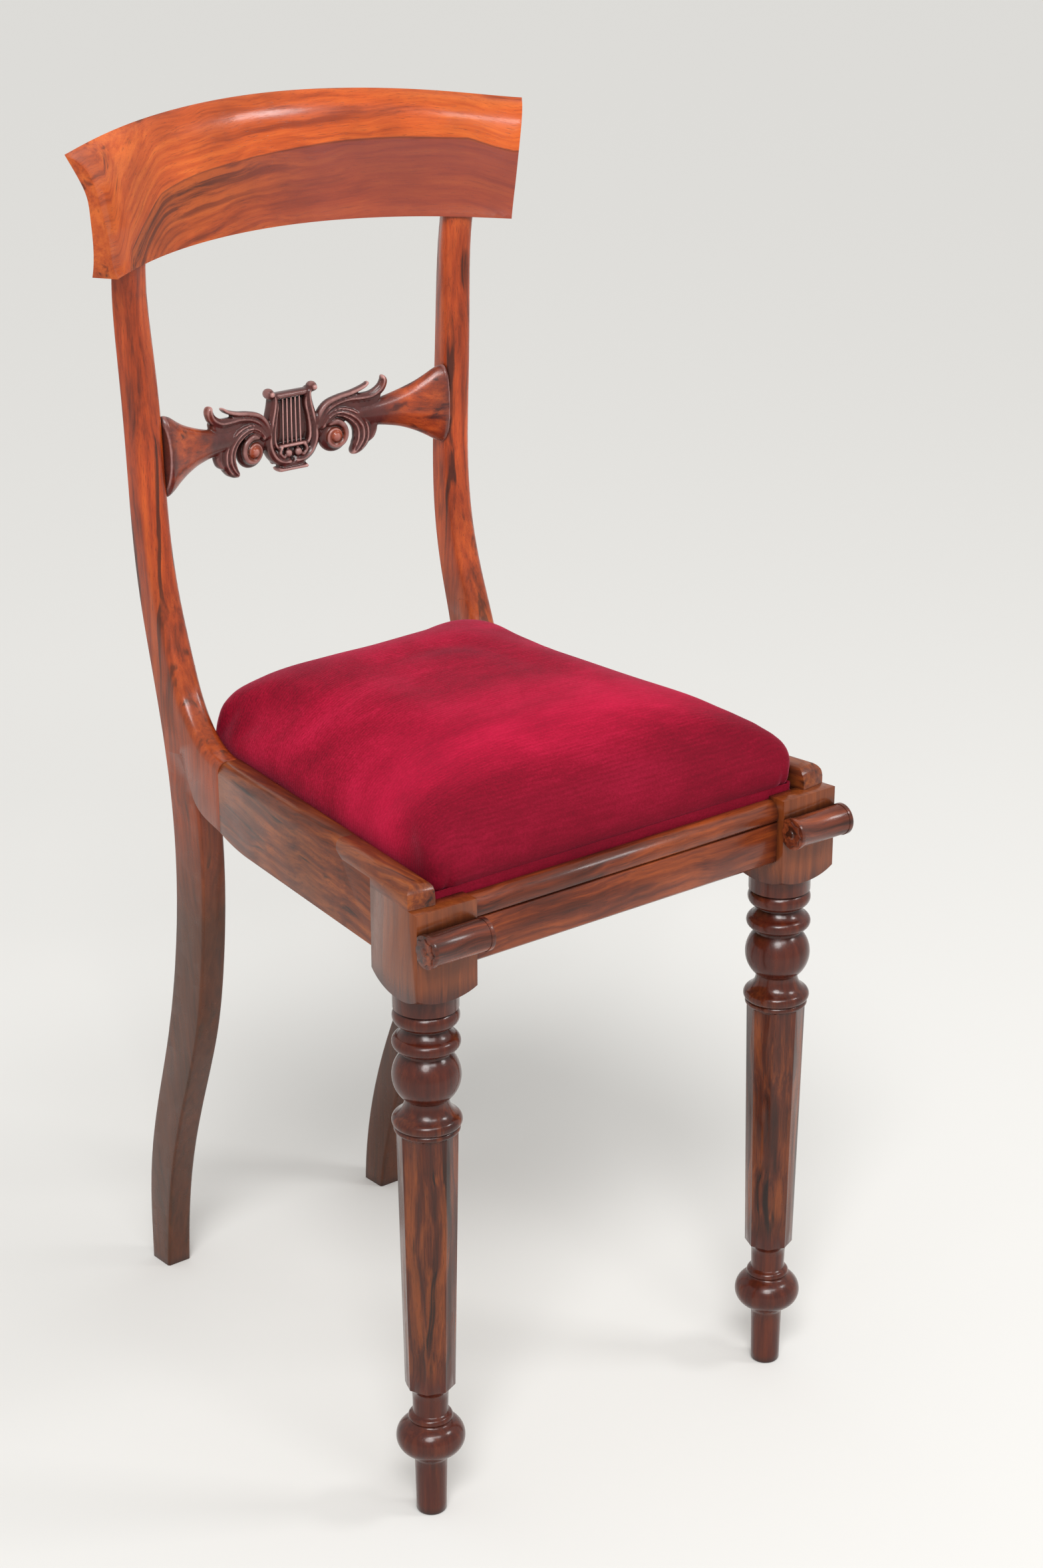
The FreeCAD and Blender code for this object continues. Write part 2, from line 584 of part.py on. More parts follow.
# The crowned pad: at each share of the crown's height, how far in from the edge the surface stands,
# its corner radius, and how many degrees the level leans down to the front
def pad(grow, low_z, top_z):
    base = frame_top + 1.0
    levels = [(0.0, 0.0, 7, 0), (0.07, 0.0, 7, 0), (0.15, -0.05, 7.5, 0), (0.25, -0.2, 8, 0.3), (0.36, -0.5, 8.5, 0.9),
              (0.46, -1.1, 9, 1.6), (0.54, -2.0, 10.5, 2.2), (0.61, -3.5, 12.5, 2.7), (0.69, -7.0, 16, 3.1),
              (0.75, -13.0, 21, 3.1), (0.81, -22.0, 27, 2.8), (0.87, -36.0, 34, 2.2), (0.93, -55.0, 38, 1.5),
              (0.976, -78.0, 28, 0.8), (1.0, -100.0, 12, 0.3)]
    upper = []
    for share, inset, corner, lean in levels:
        z = base + (top_z - base) * share
        ring = seat_wire(grow + inset, z, corner)
        ring.rotate(V(0, (seat_front_y + seat_back_y) / 2.0, z), V(1, 0, 0), lean)
        upper.append(ring)
    dome = Part.makeLoft(upper, True)
    if low_z >= base:
        return dome.cut(Part.makeBox(500, 500, low_z - base + 50, V(-250, -250, base - 50)))
    skirt = Part.Face(seat_wire(grow, low_z, 7)).extrude(V(0, 0, base - low_z))
    return dome.fuse(skirt)


cover_low = ledge_z + seat_gap
frame_low = cover_low + cover_thickness
frame_top = frame_low + frame_thickness
webbing_low = frame_top
cross_low = webbing_low + webbing_thickness
hessian_low = cross_low + webbing_thickness
stuffing_low = hessian_low + hessian_thickness + soft_gap
tack_bite = frame_thickness / 2.0 - seat_dowel_radius - 0.5


def seat_cover():
    outside = pad(cover_thickness, cover_low, cushion_top_z)
    inside = pad(0.0, frame_low, cushion_top_z - cover_thickness)
    opening = Part.Face(seat_wire(-18.0, cover_low - 2, 4)).extrude(V(0, 0, 6))
    return outside.cut([inside, opening]).removeSplitter()


def seat_bars():
    blank = Part.Face(seat_wire(0.0, frame_low, 7)).extrude(V(0, 0, frame_thickness))
    inner_front = seat_front_y + bar_width
    inner_back = seat_back_y - bar_width
    front = blank.common(Part.makeBox(400, bar_width, frame_thickness, V(-200, seat_front_y, frame_low)))
    back = blank.common(Part.makeBox(400, bar_width, frame_thickness, V(-200, inner_back, frame_low)))
    right = face_of([V(seat_half(inner_front) - bar_width, inner_front, frame_low),
                     V(seat_half(inner_front), inner_front, frame_low), V(seat_half(inner_back), inner_back, frame_low),
                     V(seat_half(inner_back) - bar_width, inner_back, frame_low)]).extrude(V(0, 0, frame_thickness))
    return front, back, right


def seat_dowels():
    rods = []
    z = frame_low + frame_thickness / 2.0
    inner_front = seat_front_y + bar_width
    inner_back = seat_back_y - bar_width
    for side in (-1, 1):
        for y in (inner_front, inner_back):
            for inset in (13.0, 31.0):
                x = side * (seat_half(y) - inset)
                rods.append(rod(V(x, y - 18, z), V(x, y + 18, z), seat_dowel_radius))
    return rods


def strip_lengthwise(x):
    y0 = seat_front_y + 5
    y1 = seat_back_y - 5
    return Part.makeBox(webbing_width, y1 - y0, webbing_thickness, V(x - webbing_width / 2.0, y0, webbing_low))


def strip_crosswise(y):
    half = seat_half(y + webbing_width / 2.0) - 5
    return Part.makeBox(2 * half, webbing_width, webbing_thickness, V(-half, y - webbing_width / 2.0, cross_low))


# A tack driven along a direction: point is under its head, length is how far the shank goes in
def tack(point, way, length):
    shank = Part.makeCylinder(tack_radius, length, point, way)
    head = Part.makeCone(tack_head_radius, tack_head_radius * 0.55, tack_head_height, point, way * -1.0)
    return shank.fuse(head).removeSplitter()


def brace_screw(head, way, length):
    way = way.normalize()
    shank = Part.makeCylinder(1.9, length, head, way)
    cone = Part.makeCone(4.0, 1.9, 2.6, head, way)
    return shank.fuse(cone).removeSplitter()


# Assembly
right_post = back_post()
left_post = mirrored(right_post)
posts = right_post.fuse(left_post)

crown = crown_rail(posts)
cross = cross_rail(posts)
back = back_rail(posts)
front = front_rail()
right_rail = side_rail()
left_rail = mirrored(right_rail)
right_leg = front_leg()
left_leg = mirrored(right_leg)
right_roll = front_roll()
left_roll = mirrored(right_roll)

# Corner braces under the seat, between the rails
inner_line = rail_width + ledge_width


def brace_block(points):
    return face_of([V(x, y, rail_bottom_z + 1.0) for x, y in points]).extrude(V(0, 0, ledge_z - rail_bottom_z - 1.0))


def inner_x(y):
    return rail_point(y, 0, 0).x - inner_line * run


front_back_y = front_face_y + front_rail_depth
right_front_brace = brace_block([(92, front_back_y), (block_inner_x, front_back_y), (block_inner_x, block_rear_y),
                                 (inner_x(block_rear_y), block_rear_y), (inner_x(-22), -22), (inner_x(-22) - 10, -22)])
right_back_brace = brace_block([(72, back_rail_front_y), (inner_x(shoulder_y), back_rail_front_y),
                                (inner_x(shoulder_y), shoulder_y), (inner_x(118), 118), (inner_x(118) - 9, 118)])
left_front_brace = mirrored(right_front_brace)
left_back_brace = mirrored(right_back_brace)

screw_z = ledge_z - 8.5
right_screws = [brace_screw(V(106.5, -75.6, screw_z), V(-0.15, -1, 0), 27.0),
                brace_screw(V(124.5, -36.5, screw_z), V(1, 0.12, 0), 29.0),
                brace_screw(V(89.0, 174.0, screw_z), V(0.1, 1, 0), 31.0),
                brace_screw(V(107.0, 135.0, screw_z), V(1, -0.1, 0), 27.0)]
screws = right_screws + [mirrored(item) for item in right_screws]

# Dowels of the frame
crown_dowels = []
cross_dowels = []
front_dowels = []
side_front_dowels = []
side_back_dowels = []
back_dowels = []
for side in (-1, 1):
    crown_dowels.append(rod(V(side * 138.3, 243, 768), V(side * 138.3, 243, 806), 3.6))
    cross_dowels.append(rod(V(side * 108, 241.5, cross_z), V(side * 133, 241.5, cross_z), 4.0))
    for z in (front_rail_bottom_z + 7.5, front_rail_bottom_z + 17.5):
        front_dowels.append(rod(V(side * (block_inner_x - 20), -100.5, z), V(side * (block_inner_x + 18), -100.5, z), 3.8))
for z in (rail_bottom_z + 8.5, rail_bottom_z + 32.5):
    at = rail_point(block_rear_y, 11.0, z)
    item = rod(at - forward * 20, at + forward * 20, dowel_radius)
    side_front_dowels += [item, mirrored(item)]
    at = rail_point(shoulder_y, 10.0, z + 6)
    item = rod(at - forward * 20, at + forward * 20, dowel_radius)
    side_back_dowels += [item, mirrored(item)]
    item = rod(V(100, 211.5, z), V(132, 211.5, z), dowel_radius)
    back_dowels += [item, mirrored(item)]

frame_pieces = {"crown_rail": (crown, crown_dowels), "lyre_cross_rail": (cross, cross_dowels),
                "left_back_post": (left_post, crown_dowels + cross_dowels + side_back_dowels + back_dowels),
                "right_back_post": (right_post, crown_dowels + cross_dowels + side_back_dowels + back_dowels),
                "back_rail": (back, back_dowels + screws), "front_rail": (front, front_dowels + screws),
                "left_side_rail": (left_rail, side_front_dowels + side_back_dowels + screws),
                "right_side_rail": (right_rail, side_front_dowels + side_back_dowels + screws),
                "left_front_leg": (left_leg, front_dowels + side_front_dowels),
                "right_front_leg": (right_leg, front_dowels + side_front_dowels),
                "left_front_brace": (left_front_brace, screws), "right_front_brace": (right_front_brace, screws),
                "left_back_brace": (left_back_brace, screws), "right_back_brace": (right_back_brace, screws)}
for name, (piece, fittings) in frame_pieces.items():
    save(name, piece.cut(fittings))
save("left_front_roll", left_roll)
save("right_front_roll", right_roll)
save("crown_rail_dowels", Part.Compound(crown_dowels))
save("cross_rail_dowels", Part.Compound(cross_dowels))
save("front_rail_dowels", Part.Compound(front_dowels))
save("side_rail_front_dowels", Part.Compound(side_front_dowels))
save("side_rail_back_dowels", Part.Compound(side_back_dowels))
save("back_rail_dowels", Part.Compound(back_dowels))
save("brace_screws", Part.Compound(screws))

# Loose seat
bar_front, bar_back, bar_right = seat_bars()
bar_left = mirrored(bar_right)
dowels = seat_dowels()
strip_x = (-66.0, 0.0, 66.0)
strip_y = (-26.0, 48.0, 122.0)
lengthwise = [strip_lengthwise(x) for x in strip_x]
crosswise = [strip_crosswise(y) for y in strip_y]
hessian = Part.Face(seat_wire(-15.0, hessian_low, 6)).extrude(V(0, 0, hessian_thickness))

web_tacks = []
for x in strip_x:
    for dx in (-14.0, 14.0):
        for y in (seat_front_y + 10.5, seat_back_y - 10.5):
            web_tacks.append(tack(V(x + dx, y, cross_low), V(0, 0, -1), tack_bite + webbing_thickness))
for y in strip_y:
    for dy in (-14.0, 14.0):
        for side in (-1, 1):
            x = side * (seat_half(y + dy) - 10.5)
            web_tacks.append(tack(V(x, y + dy, hessian_low), V(0, 0, -1), tack_bite + 2 * webbing_thickness))

under_tacks = []
for x in (-120, -60, 0, 60, 120):
    under_tacks.append((x, seat_front_y + 9.0))
for x in (-84, -28, 28, 84):
    under_tacks.append((x, seat_back_y - 9.0))
for y in (-50, 10, 70, 130):
    for side in (-1, 1):
        under_tacks.append((side * (seat_half(y) - 12.0), y))
cover = seat_cover()
cover_tacks = []
for x, y in under_tacks:
    under_head = cover_low + tack_head_height + 0.1
    cover_tacks.append(tack(V(x, y, under_head), V(0, 0, 1), frame_low - under_head + tack_bite))

save("seat_front_bar", bar_front.cut(dowels + web_tacks + cover_tacks))
save("seat_back_bar", bar_back.cut(dowels + web_tacks + cover_tacks))
save("seat_left_bar", bar_left.cut(dowels + web_tacks + cover_tacks))
save("seat_right_bar", bar_right.cut(dowels + web_tacks + cover_tacks))
save("seat_frame_dowels", Part.Compound(dowels))
save("webbing_lengthwise", Part.Compound([strip.cut(web_tacks) for strip in lengthwise]))
save("webbing_crosswise", Part.Compound([strip.cut(web_tacks) for strip in crosswise]))
save("seat_hessian", hessian)
save("seat_stuffing", pad(-0.3, stuffing_low, cushion_top_z - cover_thickness - 0.3))
save("seat_cover", cover.cut(cover_tacks))
save("webbing_tacks", Part.Compound(web_tacks))
save("cover_tacks", Part.Compound(cover_tacks))
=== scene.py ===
import json
import math

import bmesh
import bpy
import numpy as np
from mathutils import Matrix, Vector


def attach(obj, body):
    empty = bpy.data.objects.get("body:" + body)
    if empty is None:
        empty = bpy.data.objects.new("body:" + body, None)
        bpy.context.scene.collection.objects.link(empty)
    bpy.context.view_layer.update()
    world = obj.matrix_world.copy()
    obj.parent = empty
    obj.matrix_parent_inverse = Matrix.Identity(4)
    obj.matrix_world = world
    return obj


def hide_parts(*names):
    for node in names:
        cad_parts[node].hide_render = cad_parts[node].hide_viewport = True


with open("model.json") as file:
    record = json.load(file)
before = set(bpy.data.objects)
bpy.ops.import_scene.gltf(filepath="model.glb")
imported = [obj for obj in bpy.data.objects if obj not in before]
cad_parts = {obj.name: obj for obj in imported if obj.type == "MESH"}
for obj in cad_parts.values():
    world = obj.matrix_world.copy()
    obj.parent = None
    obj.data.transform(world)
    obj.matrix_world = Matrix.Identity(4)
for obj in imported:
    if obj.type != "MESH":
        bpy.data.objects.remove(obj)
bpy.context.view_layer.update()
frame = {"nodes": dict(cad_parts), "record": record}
mm = 0.001
print("stage: frame loaded")


# Small helpers for shader trees

def tone(red, green, blue):
    # an sRGB colour from 0 to 255, turned into the linear colour that a shader takes
    c = np.array([red, green, blue]) / 255.0
    linear = np.where(c <= 0.04045, c / 12.92, ((c + 0.055) / 1.055) ** 2.4)
    return (*linear.tolist(), 1.0)


def put(tree, kind, inputs=None, **settings):
    # a new node, with its settings, and each input either linked or given a value
    node = tree.nodes.new(kind)
    for name, value in settings.items():
        setattr(node, name, value)
    for name, value in (inputs or {}).items():
        if isinstance(value, bpy.types.NodeSocket):
            tree.links.new(value, node.inputs[name])
        else:
            node.inputs[name].default_value = value
    return node


def reckon(tree, operation, first, second=0.0, clamp=False):
    # one sum on two numbers or sockets; with clamp, the answer is held between 0 and 1
    node = put(tree, "ShaderNodeMath", {0: first, 1: second}, operation=operation, use_clamp=clamp)
    return node.outputs[0]


def plus(tree, first, second):
    # first + second
    return reckon(tree, "ADD", first, second)


def minus(tree, first, second):
    # first - second
    return reckon(tree, "SUBTRACT", first, second)


def times(tree, first, second):
    # first * second
    return reckon(tree, "MULTIPLY", first, second)


def mapTo(tree, value, start, end, first=0.0, last=1.0):
    # start becomes first and end becomes last, in a straight line between them and level beyond
    limits = {"Value": value, "From Min": start, "From Max": end, "To Min": first, "To Max": last}
    return put(tree, "ShaderNodeMapRange", limits).outputs[0]


def ramp(tree, factor, stops, interpolation="LINEAR"):
    # what lies between the stops, each a position and a colour; a bare number stands for a grey
    node = put(tree, "ShaderNodeValToRGB", {"Fac": factor})
    node.color_ramp.interpolation = interpolation
    while len(node.color_ramp.elements) < len(stops):
        node.color_ramp.elements.new(0.5)
    for element, (position, colour) in zip(node.color_ramp.elements, stops):
        element.position = position
        element.color = colour if isinstance(colour, tuple) else (colour, colour, colour, 1.0)
    return node.outputs["Color"]


def blendColour(tree, factor, first, second, mode="MIX"):
    # first at factor 0, second at factor 1
    node = put(tree, "ShaderNodeMix", {0: factor, 6: first, 7: second}, data_type="RGBA", blend_type=mode)
    return node.outputs[2]


def streaked(tree, streak, pair):
    # the pair's first tone where the streaks are weak, its second where they are strong
    return blendColour(tree, streak, tone(*pair[0]), tone(*pair[1]))


def noise(tree, vector, scale, detail=4.0, roughness=0.55, distortion=0.0):
    # soft noise about 0.5, with scale waves to the metre and detail finer layers over them
    settings = {"Vector": vector, "Scale": scale, "Detail": detail, "Roughness": roughness,
                "Distortion": distortion}
    return put(tree, "ShaderNodeTexNoise", settings).outputs["Fac"]


def emboss(tree, shader, height, strength, depth):
    # the normal leans with the slope of the height, which counts as depth metres from 0 to 1
    bump = put(tree, "ShaderNodeBump", {"Strength": strength, "Distance": depth, "Height": height})
    tree.links.new(bump.outputs["Normal"], shader.inputs["Normal"])


def objectPlace(tree):
    # the place in the piece's own metres, whole and as its X, Y and Z
    place = put(tree, "ShaderNodeTexCoord").outputs["Object"]
    return place, put(tree, "ShaderNodeSeparateXYZ", {"Vector": place}).outputs


def newMaterial(name):
    # a material with Blender's standard shader, and that shader
    material = bpy.data.materials.new(name)
    material.use_nodes = True
    return material, material.node_tree, material.node_tree.nodes["Principled BSDF"]


# Polished wood: long streaks along the grain, dark veins, fine pores, dirt and painted shade in the hollows
# and a french polish.
# grain is X, Y or Z for a straight piece, or arc for the crown, whose grain follows its curve.
# Colours are sRGB.
woods = {
    "crown": dict(grain="arc", light=(214, 102, 38), middle=(190, 80, 28), dark=(142, 54, 20),
                  vein=(84, 34, 16), veinShare=0.33, rough=0.20, dirtAndShade=0.3, figure=True),
    "stile": dict(grain="Z", light=(200, 86, 32), middle=(168, 64, 24), dark=(104, 38, 18),
                  vein=(48, 20, 13), veinShare=0.38, rough=0.22, dirtAndShade=0.6, post=True),
    "side": dict(grain="Y", light=(152, 78, 32), middle=(112, 50, 22), dark=(74, 32, 17),
                 vein=(32, 16, 11), veinShare=0.36, rough=0.26, dirtAndShade=0.6),
    "front": dict(grain="X", light=(150, 70, 30), middle=(106, 44, 22), dark=(62, 26, 15),
                  vein=(26, 13, 10), veinShare=0.38, rough=0.24, dirtAndShade=0.6),
    "leg": dict(grain="Z", light=(130, 64, 27), middle=(82, 35, 18), dark=(42, 19, 12),
                vein=(20, 11, 8), veinShare=0.39, rough=0.15, dirtAndShade=0.85, shaft=True),
    "roll": dict(grain="X", light=(150, 72, 38), middle=(104, 46, 28), dark=(58, 26, 17),
                 vein=(28, 14, 11), veinShare=0.38, rough=0.2, dirtAndShade=0.8),
    "carving": dict(grain="X", light=(192, 88, 42), middle=(158, 66, 34), dark=(92, 44, 34),
                    vein=(56, 30, 28), veinShare=0.36, rough=0.19, dirtAndShade=0.9, carved=True),
}
# The layers of noise in every polished wood: share shortens the pattern along the grain, shift moves it aside
grainLayers = {
    "broad": dict(share=0.09, shift=0.37, scale=62.0, detail=5.0, roughness=0.6, distortion=0.4),
    "streak": dict(share=0.035, shift=1.91, scale=240.0, detail=6.0, roughness=0.62, distortion=0.2),
    "veins": dict(share=0.045, shift=3.3, scale=105.0, detail=3.0, roughness=0.5, distortion=0.5),
    "pores": dict(share=0.05, shift=5.1, scale=2300.0, detail=2.0, roughness=0.5),
}
polish = dict(dirtAndShade=(30, 15, 13), dirtAndShadeReach=0.009, uneven=0.14, relief=0.25, reliefDepth=0.0004)
crownArc = dict(axisY=-0.12065, radius=0.300)


def grainAxes(tree, grain):
    # the place, its axes, the way along the grain and the two ways across it; on the crown the last three are
    # turn angle * radius, the distance from its axis and the height over its dark crescent's line
    place, axes = objectPlace(tree)
    if grain == "arc":
        depth = minus(tree, axes["Y"], crownArc["axisY"])
        turn = reckon(tree, "ARCTAN2", axes["X"], depth)
        squares = plus(tree, reckon(tree, "POWER", axes["X"], 2.0), reckon(tree, "POWER", depth, 2.0))
        along = times(tree, turn, crownArc["radius"])
        others = (reckon(tree, "POWER", squares, 0.5), minus(tree, axes["Z"], crescentLine(tree, turn)))
    else:
        along = axes[grain]
        others = tuple(axes[a] for a in "XYZ" if a != grain)
    return place, axes, along, others


def grainLayer(tree, along, others, share, shift, **settings):
    # noise at (along * share, first way across + shift, second way across)
    parts = {"X": times(tree, along, share), "Y": plus(tree, others[0], shift), "Z": others[1]}
    return noise(tree, put(tree, "ShaderNodeCombineXYZ", parts).outputs["Vector"], **settings)


def woodMaterial(name, spec):
    # body colour from 0.55 broad + 0.45 streak; over it go veins, pores, clouds, the piece's own tones and
    # dirt with painted shade in the hollows, and the polish is rougher where its own noise is high
    material, tree, shader = newMaterial("wood_" + name)
    place, axes, along, others = grainAxes(tree, spec["grain"])
    sway = noise(tree, place, 11.0, 2.0)
    swayed = (plus(tree, others[0], times(tree, sway, 0.016)), plus(tree, others[1], times(tree, sway, 0.020)))
    broad, streak, veins = (grainLayer(tree, along, swayed, **grainLayers[layer])
                            for layer in ("broad", "streak", "veins"))
    pores = grainLayer(tree, along, others, **grainLayers["pores"])
    body = plus(tree, times(tree, broad, 0.55), times(tree, streak, 0.45))
    colour = ramp(tree, body, [(0.36, tone(*spec["dark"])), (0.48, tone(*spec["middle"])),
                               (0.60, tone(*spec["light"]))])
    share = spec["veinShare"]
    veinMask = ramp(tree, veins, [(share - 0.05, 0.85), (share, 0.30), (share + 0.04, 0.0)])
    colour = blendColour(tree, veinMask, colour, tone(*spec["vein"]))
    poreMask = ramp(tree, pores, [(0.30, 0.55), (0.40, 0.0)])
    colour = blendColour(tree, poreMask, colour, tone(*spec["vein"]))
    cloud = ramp(tree, noise(tree, place, 17.0, 3.0), [(0.35, 0.72), (0.62, 1.0)])
    colour = blendColour(tree, 1.0, colour, cloud, "MULTIPLY")
    if spec.get("figure"):
        colour = crownFigure(tree, colour, axes, others[1], streak, broad)
    if spec.get("carved"):
        colour = carvedTone(tree, colour, axes, place)
    if spec.get("post"):
        colour = postTone(tree, colour, axes, sway, streak)
    if spec.get("shaft"):
        colour = legTone(tree, colour, axes, sway, streak)
    # dirt and painted shade: the colour darkens towards the dark tone where ambient occlusion finds the
    # surface hemmed in
    hollow = put(tree, "ShaderNodeAmbientOcclusion", {"Distance": polish["dirtAndShadeReach"]}, samples=8)
    dirtAndShadeMask = ramp(tree, hollow.outputs["AO"], [(0.35, spec["dirtAndShade"]), (0.85, 0.0)])
    colour = blendColour(tree, dirtAndShadeMask, colour, tone(*polish["dirtAndShade"]))
    tree.links.new(colour, shader.inputs["Base Color"])
    rough = spec["rough"]
    gloss = ramp(tree, noise(tree, place, 40.0, 4.0), [(0.3, rough), (0.7, rough + polish["uneven"])])
    tree.links.new(gloss, shader.inputs["Roughness"])
    shader.inputs["Specular IOR Level"].default_value = 0.30
    shader.inputs["Coat Weight"].default_value = 0.22
    shader.inputs["Coat Roughness"].default_value = 0.12
    relief = plus(tree, times(tree, streak, 0.5), times(tree, poreMask, -0.4))
    emboss(tree, shader, relief, polish["relief"], polish["reliefDepth"])
    return material


# The posts are orange above, browner round the seat and darkest down the leg. Each band has the height below
# which it is full, the height where it has faded out, its full share and its pair of tones.
postLook = dict(sway=0.05, bands=[(0.50, 0.62, 0.45, ((70, 32, 18), (158, 76, 34))),
                                  (0.35, 0.46, 0.86, ((30, 18, 11), (82, 48, 24)))])


def postTone(tree, colour, axes, sway, streak):
    # each band's share falls in a straight line with the height, which the sway makes uneven
    height = plus(tree, axes["Z"], times(tree, sway, postLook["sway"]))
    for full, gone, share, pair in postLook["bands"]:
        mask = mapTo(tree, height, full, gone, share, 0.0)
        colour = blendColour(tree, mask, colour, streaked(tree, streak, pair))
    return colour


# The turned rings of a front leg are redder and darker than its tapering shaft, and its block is a plain
# orange brown. Each band has its shares by height and its pair of tones.
legLook = dict(sway=0.012, bands=[
    ([(0.109, 0.8), (0.122, 0.0), (0.270, 0.0), (0.322, 0.9), (0.388, 0.8), (0.400, 0.0)],
     ((34, 13, 10), (96, 36, 22))),
    ([(0.392, 0.0), (0.404, 0.7)], ((88, 38, 16), (158, 80, 34)))])


def legTone(tree, colour, axes, sway, streak):
    # each band's share is read at the height, which the sway makes uneven
    height = plus(tree, axes["Z"], times(tree, sway, legLook["sway"]))
    for shares, pair in legLook["bands"]:
        colour = blendColour(tree, ramp(tree, height, shares), colour, streaked(tree, streak, pair))
    return colour


# The crown's veneer has a crescent of darker wood under a long curved line, brown on the left and plum on the
# right; the plum is that dark wood with a painted reflection of a pale sky over it. The line is given by turn
# angles and heights.
crescent = dict(line=[(-0.56, 0.772), (-0.50, 0.800), (-0.36, 0.837), (-0.10, 0.843), (0.18, 0.851),
                      (0.49, 0.846), (0.60, 0.833)], low=0.75, high=0.88, ragged=0.006, edge=0.0022,
                fadeFrom=0.010, fadeTo=0.040, brownEnds=-0.075, plumStarts=0.035)


def crescentLine(tree, turn):
    # the line's height at each turn angle, read from a smooth ramp between its points
    low, high = crescent["low"], crescent["high"]
    first, last = crescent["line"][0][0], crescent["line"][-1][0]
    stops = [((angle - first) / (last - first), (height - low) / (high - low))
             for angle, height in crescent["line"]]
    level = ramp(tree, mapTo(tree, turn, first, last), stops, "B_SPLINE")
    return plus(tree, times(tree, level, high - low), low)


def crownFigure(tree, colour, axes, over, streak, broad):
    # under = ragged edge - height over the line: the wood is darkest close under the line, and on the left it
    # clears to orange towards the bottom edge
    ragged = times(tree, minus(tree, broad, 0.5), crescent["ragged"])
    under = minus(tree, ragged, over)
    inside = mapTo(tree, under, 0.0, crescent["edge"])
    fade = mapTo(tree, under, crescent["fadeFrom"], crescent["fadeTo"], 1.0, 0.25)
    side = mapTo(tree, axes["X"], crescent["brownEnds"], crescent["plumStarts"])
    lines = ramp(tree, streak, [(0.40, 0.85), (0.50, 0.35), (0.58, 0.10)])
    brown = blendColour(tree, lines, blendColour(tree, 0.45, colour, tone(124, 52, 22)), tone(52, 24, 16))
    brown = blendColour(tree, fade, colour, brown)
    # plum: the dark wood mixed with a painted purple reflection of the sky
    plumWoodAndReflection = blendColour(tree, times(tree, fade, 0.35), blendColour(tree, 0.62, colour, tone(124, 58, 52)),
                       tone(98, 52, 54))
    figure = blendColour(tree, side, brown, plumWoodAndReflection)
    rim = ramp(tree, inside, [(0.0, 0.0), (0.5, 0.65), (1.0, 0.0)])
    return blendColour(tree, rim, blendColour(tree, inside, colour, figure), tone(70, 32, 24))


# The carving in the middle and the rims at the posts are a dark plum brown, and the horns between them keep
# the wood's own tone. The volutes' eyes are rubbed lighter; all ridges are rubbed lighter and carry a painted
# highlight, and the deep hollows carry dirt and painted shade. Places are in metres, to the side of the middle
# and up from the floor.
carvedLook = dict(middleFull=0.071, middleGone=0.092, rimStarts=0.108, rimFull=0.119,
                  dark=((46, 22, 23), (92, 48, 46)), deep=(26, 13, 12), ridgeWearAndHighlight=(190, 142, 136),
                  eyeX=0.036, eyeZ=0.641, eyeFull=0.004, eyeGone=0.009, eye=(158, 70, 38))


def carvedTone(tree, colour, axes, place):
    # the dark tone goes by the distance from the middle, the eyes by the distance from their centres, and the
    # rubbed ridges with their painted highlight and the deep hollows with their dirt and painted shade by the
    # relief that storeRelief wrote
    reach = reckon(tree, "ABSOLUTE", axes["X"])
    wobble = times(tree, minus(tree, noise(tree, place, 90.0, 3.0), 0.5), 0.02)
    uneven = plus(tree, reach, wobble)
    middle = mapTo(tree, uneven, carvedLook["middleFull"], carvedLook["middleGone"], 0.95, 0.0)
    rim = mapTo(tree, uneven, carvedLook["rimStarts"], carvedLook["rimFull"], 0.0, 0.85)
    dark = streaked(tree, noise(tree, place, 120.0, 4.0), carvedLook["dark"])
    toned = blendColour(tree, reckon(tree, "MAXIMUM", middle, rim), colour, dark)
    away = put(tree, "ShaderNodeCombineXYZ", {"X": minus(tree, reach, carvedLook["eyeX"]),
                                              "Y": minus(tree, axes["Z"], carvedLook["eyeZ"])})
    spot = put(tree, "ShaderNodeVectorMath", {0: away.outputs["Vector"]}, operation="LENGTH").outputs["Value"]
    eye = mapTo(tree, plus(tree, spot, times(tree, wobble, 0.3)), carvedLook["eyeFull"], carvedLook["eyeGone"],
                0.75, 0.0)
    toned = blendColour(tree, eye, toned, tone(*carvedLook["eye"]))
    relief = put(tree, "ShaderNodeAttribute", attribute_name="relief").outputs["Fac"]
    # painted highlight over rubbed wear: the ridges go pale pinkish where the relief is high
    rubbedAndLit = times(tree, plus(tree, noise(tree, place, 150.0, 3.0), 0.25), 1.2)
    worn = reckon(tree, "MULTIPLY", ramp(tree, relief, [(0.58, 0.0), (0.76, 0.95)]), rubbedAndLit, True)
    toned = blendColour(tree, worn, toned, tone(*carvedLook["ridgeWearAndHighlight"]))
    # dirt and painted shade: the deep hollows go nearly black where the relief is low
    deep = ramp(tree, relief, [(0.22, 0.85), (0.44, 0.0)])
    return blendColour(tree, deep, toned, tone(*carvedLook["deep"]))


def plainWood(name, light, dark, grain):
    # bare wood: one layer of soft streaks, from dark to light, and a dull surface
    material, tree, shader = newMaterial(name)
    along, others = grainAxes(tree, grain)[2:]
    streak = grainLayer(tree, along, others, share=0.05, shift=0.7, scale=300.0, detail=5.0)
    colour = ramp(tree, streak, [(0.35, tone(*dark)), (0.62, tone(*light))])
    tree.links.new(colour, shader.inputs["Base Color"])
    shader.inputs["Roughness"].default_value = 0.62
    emboss(tree, shader, streak, 0.3, 0.0003)
    return material


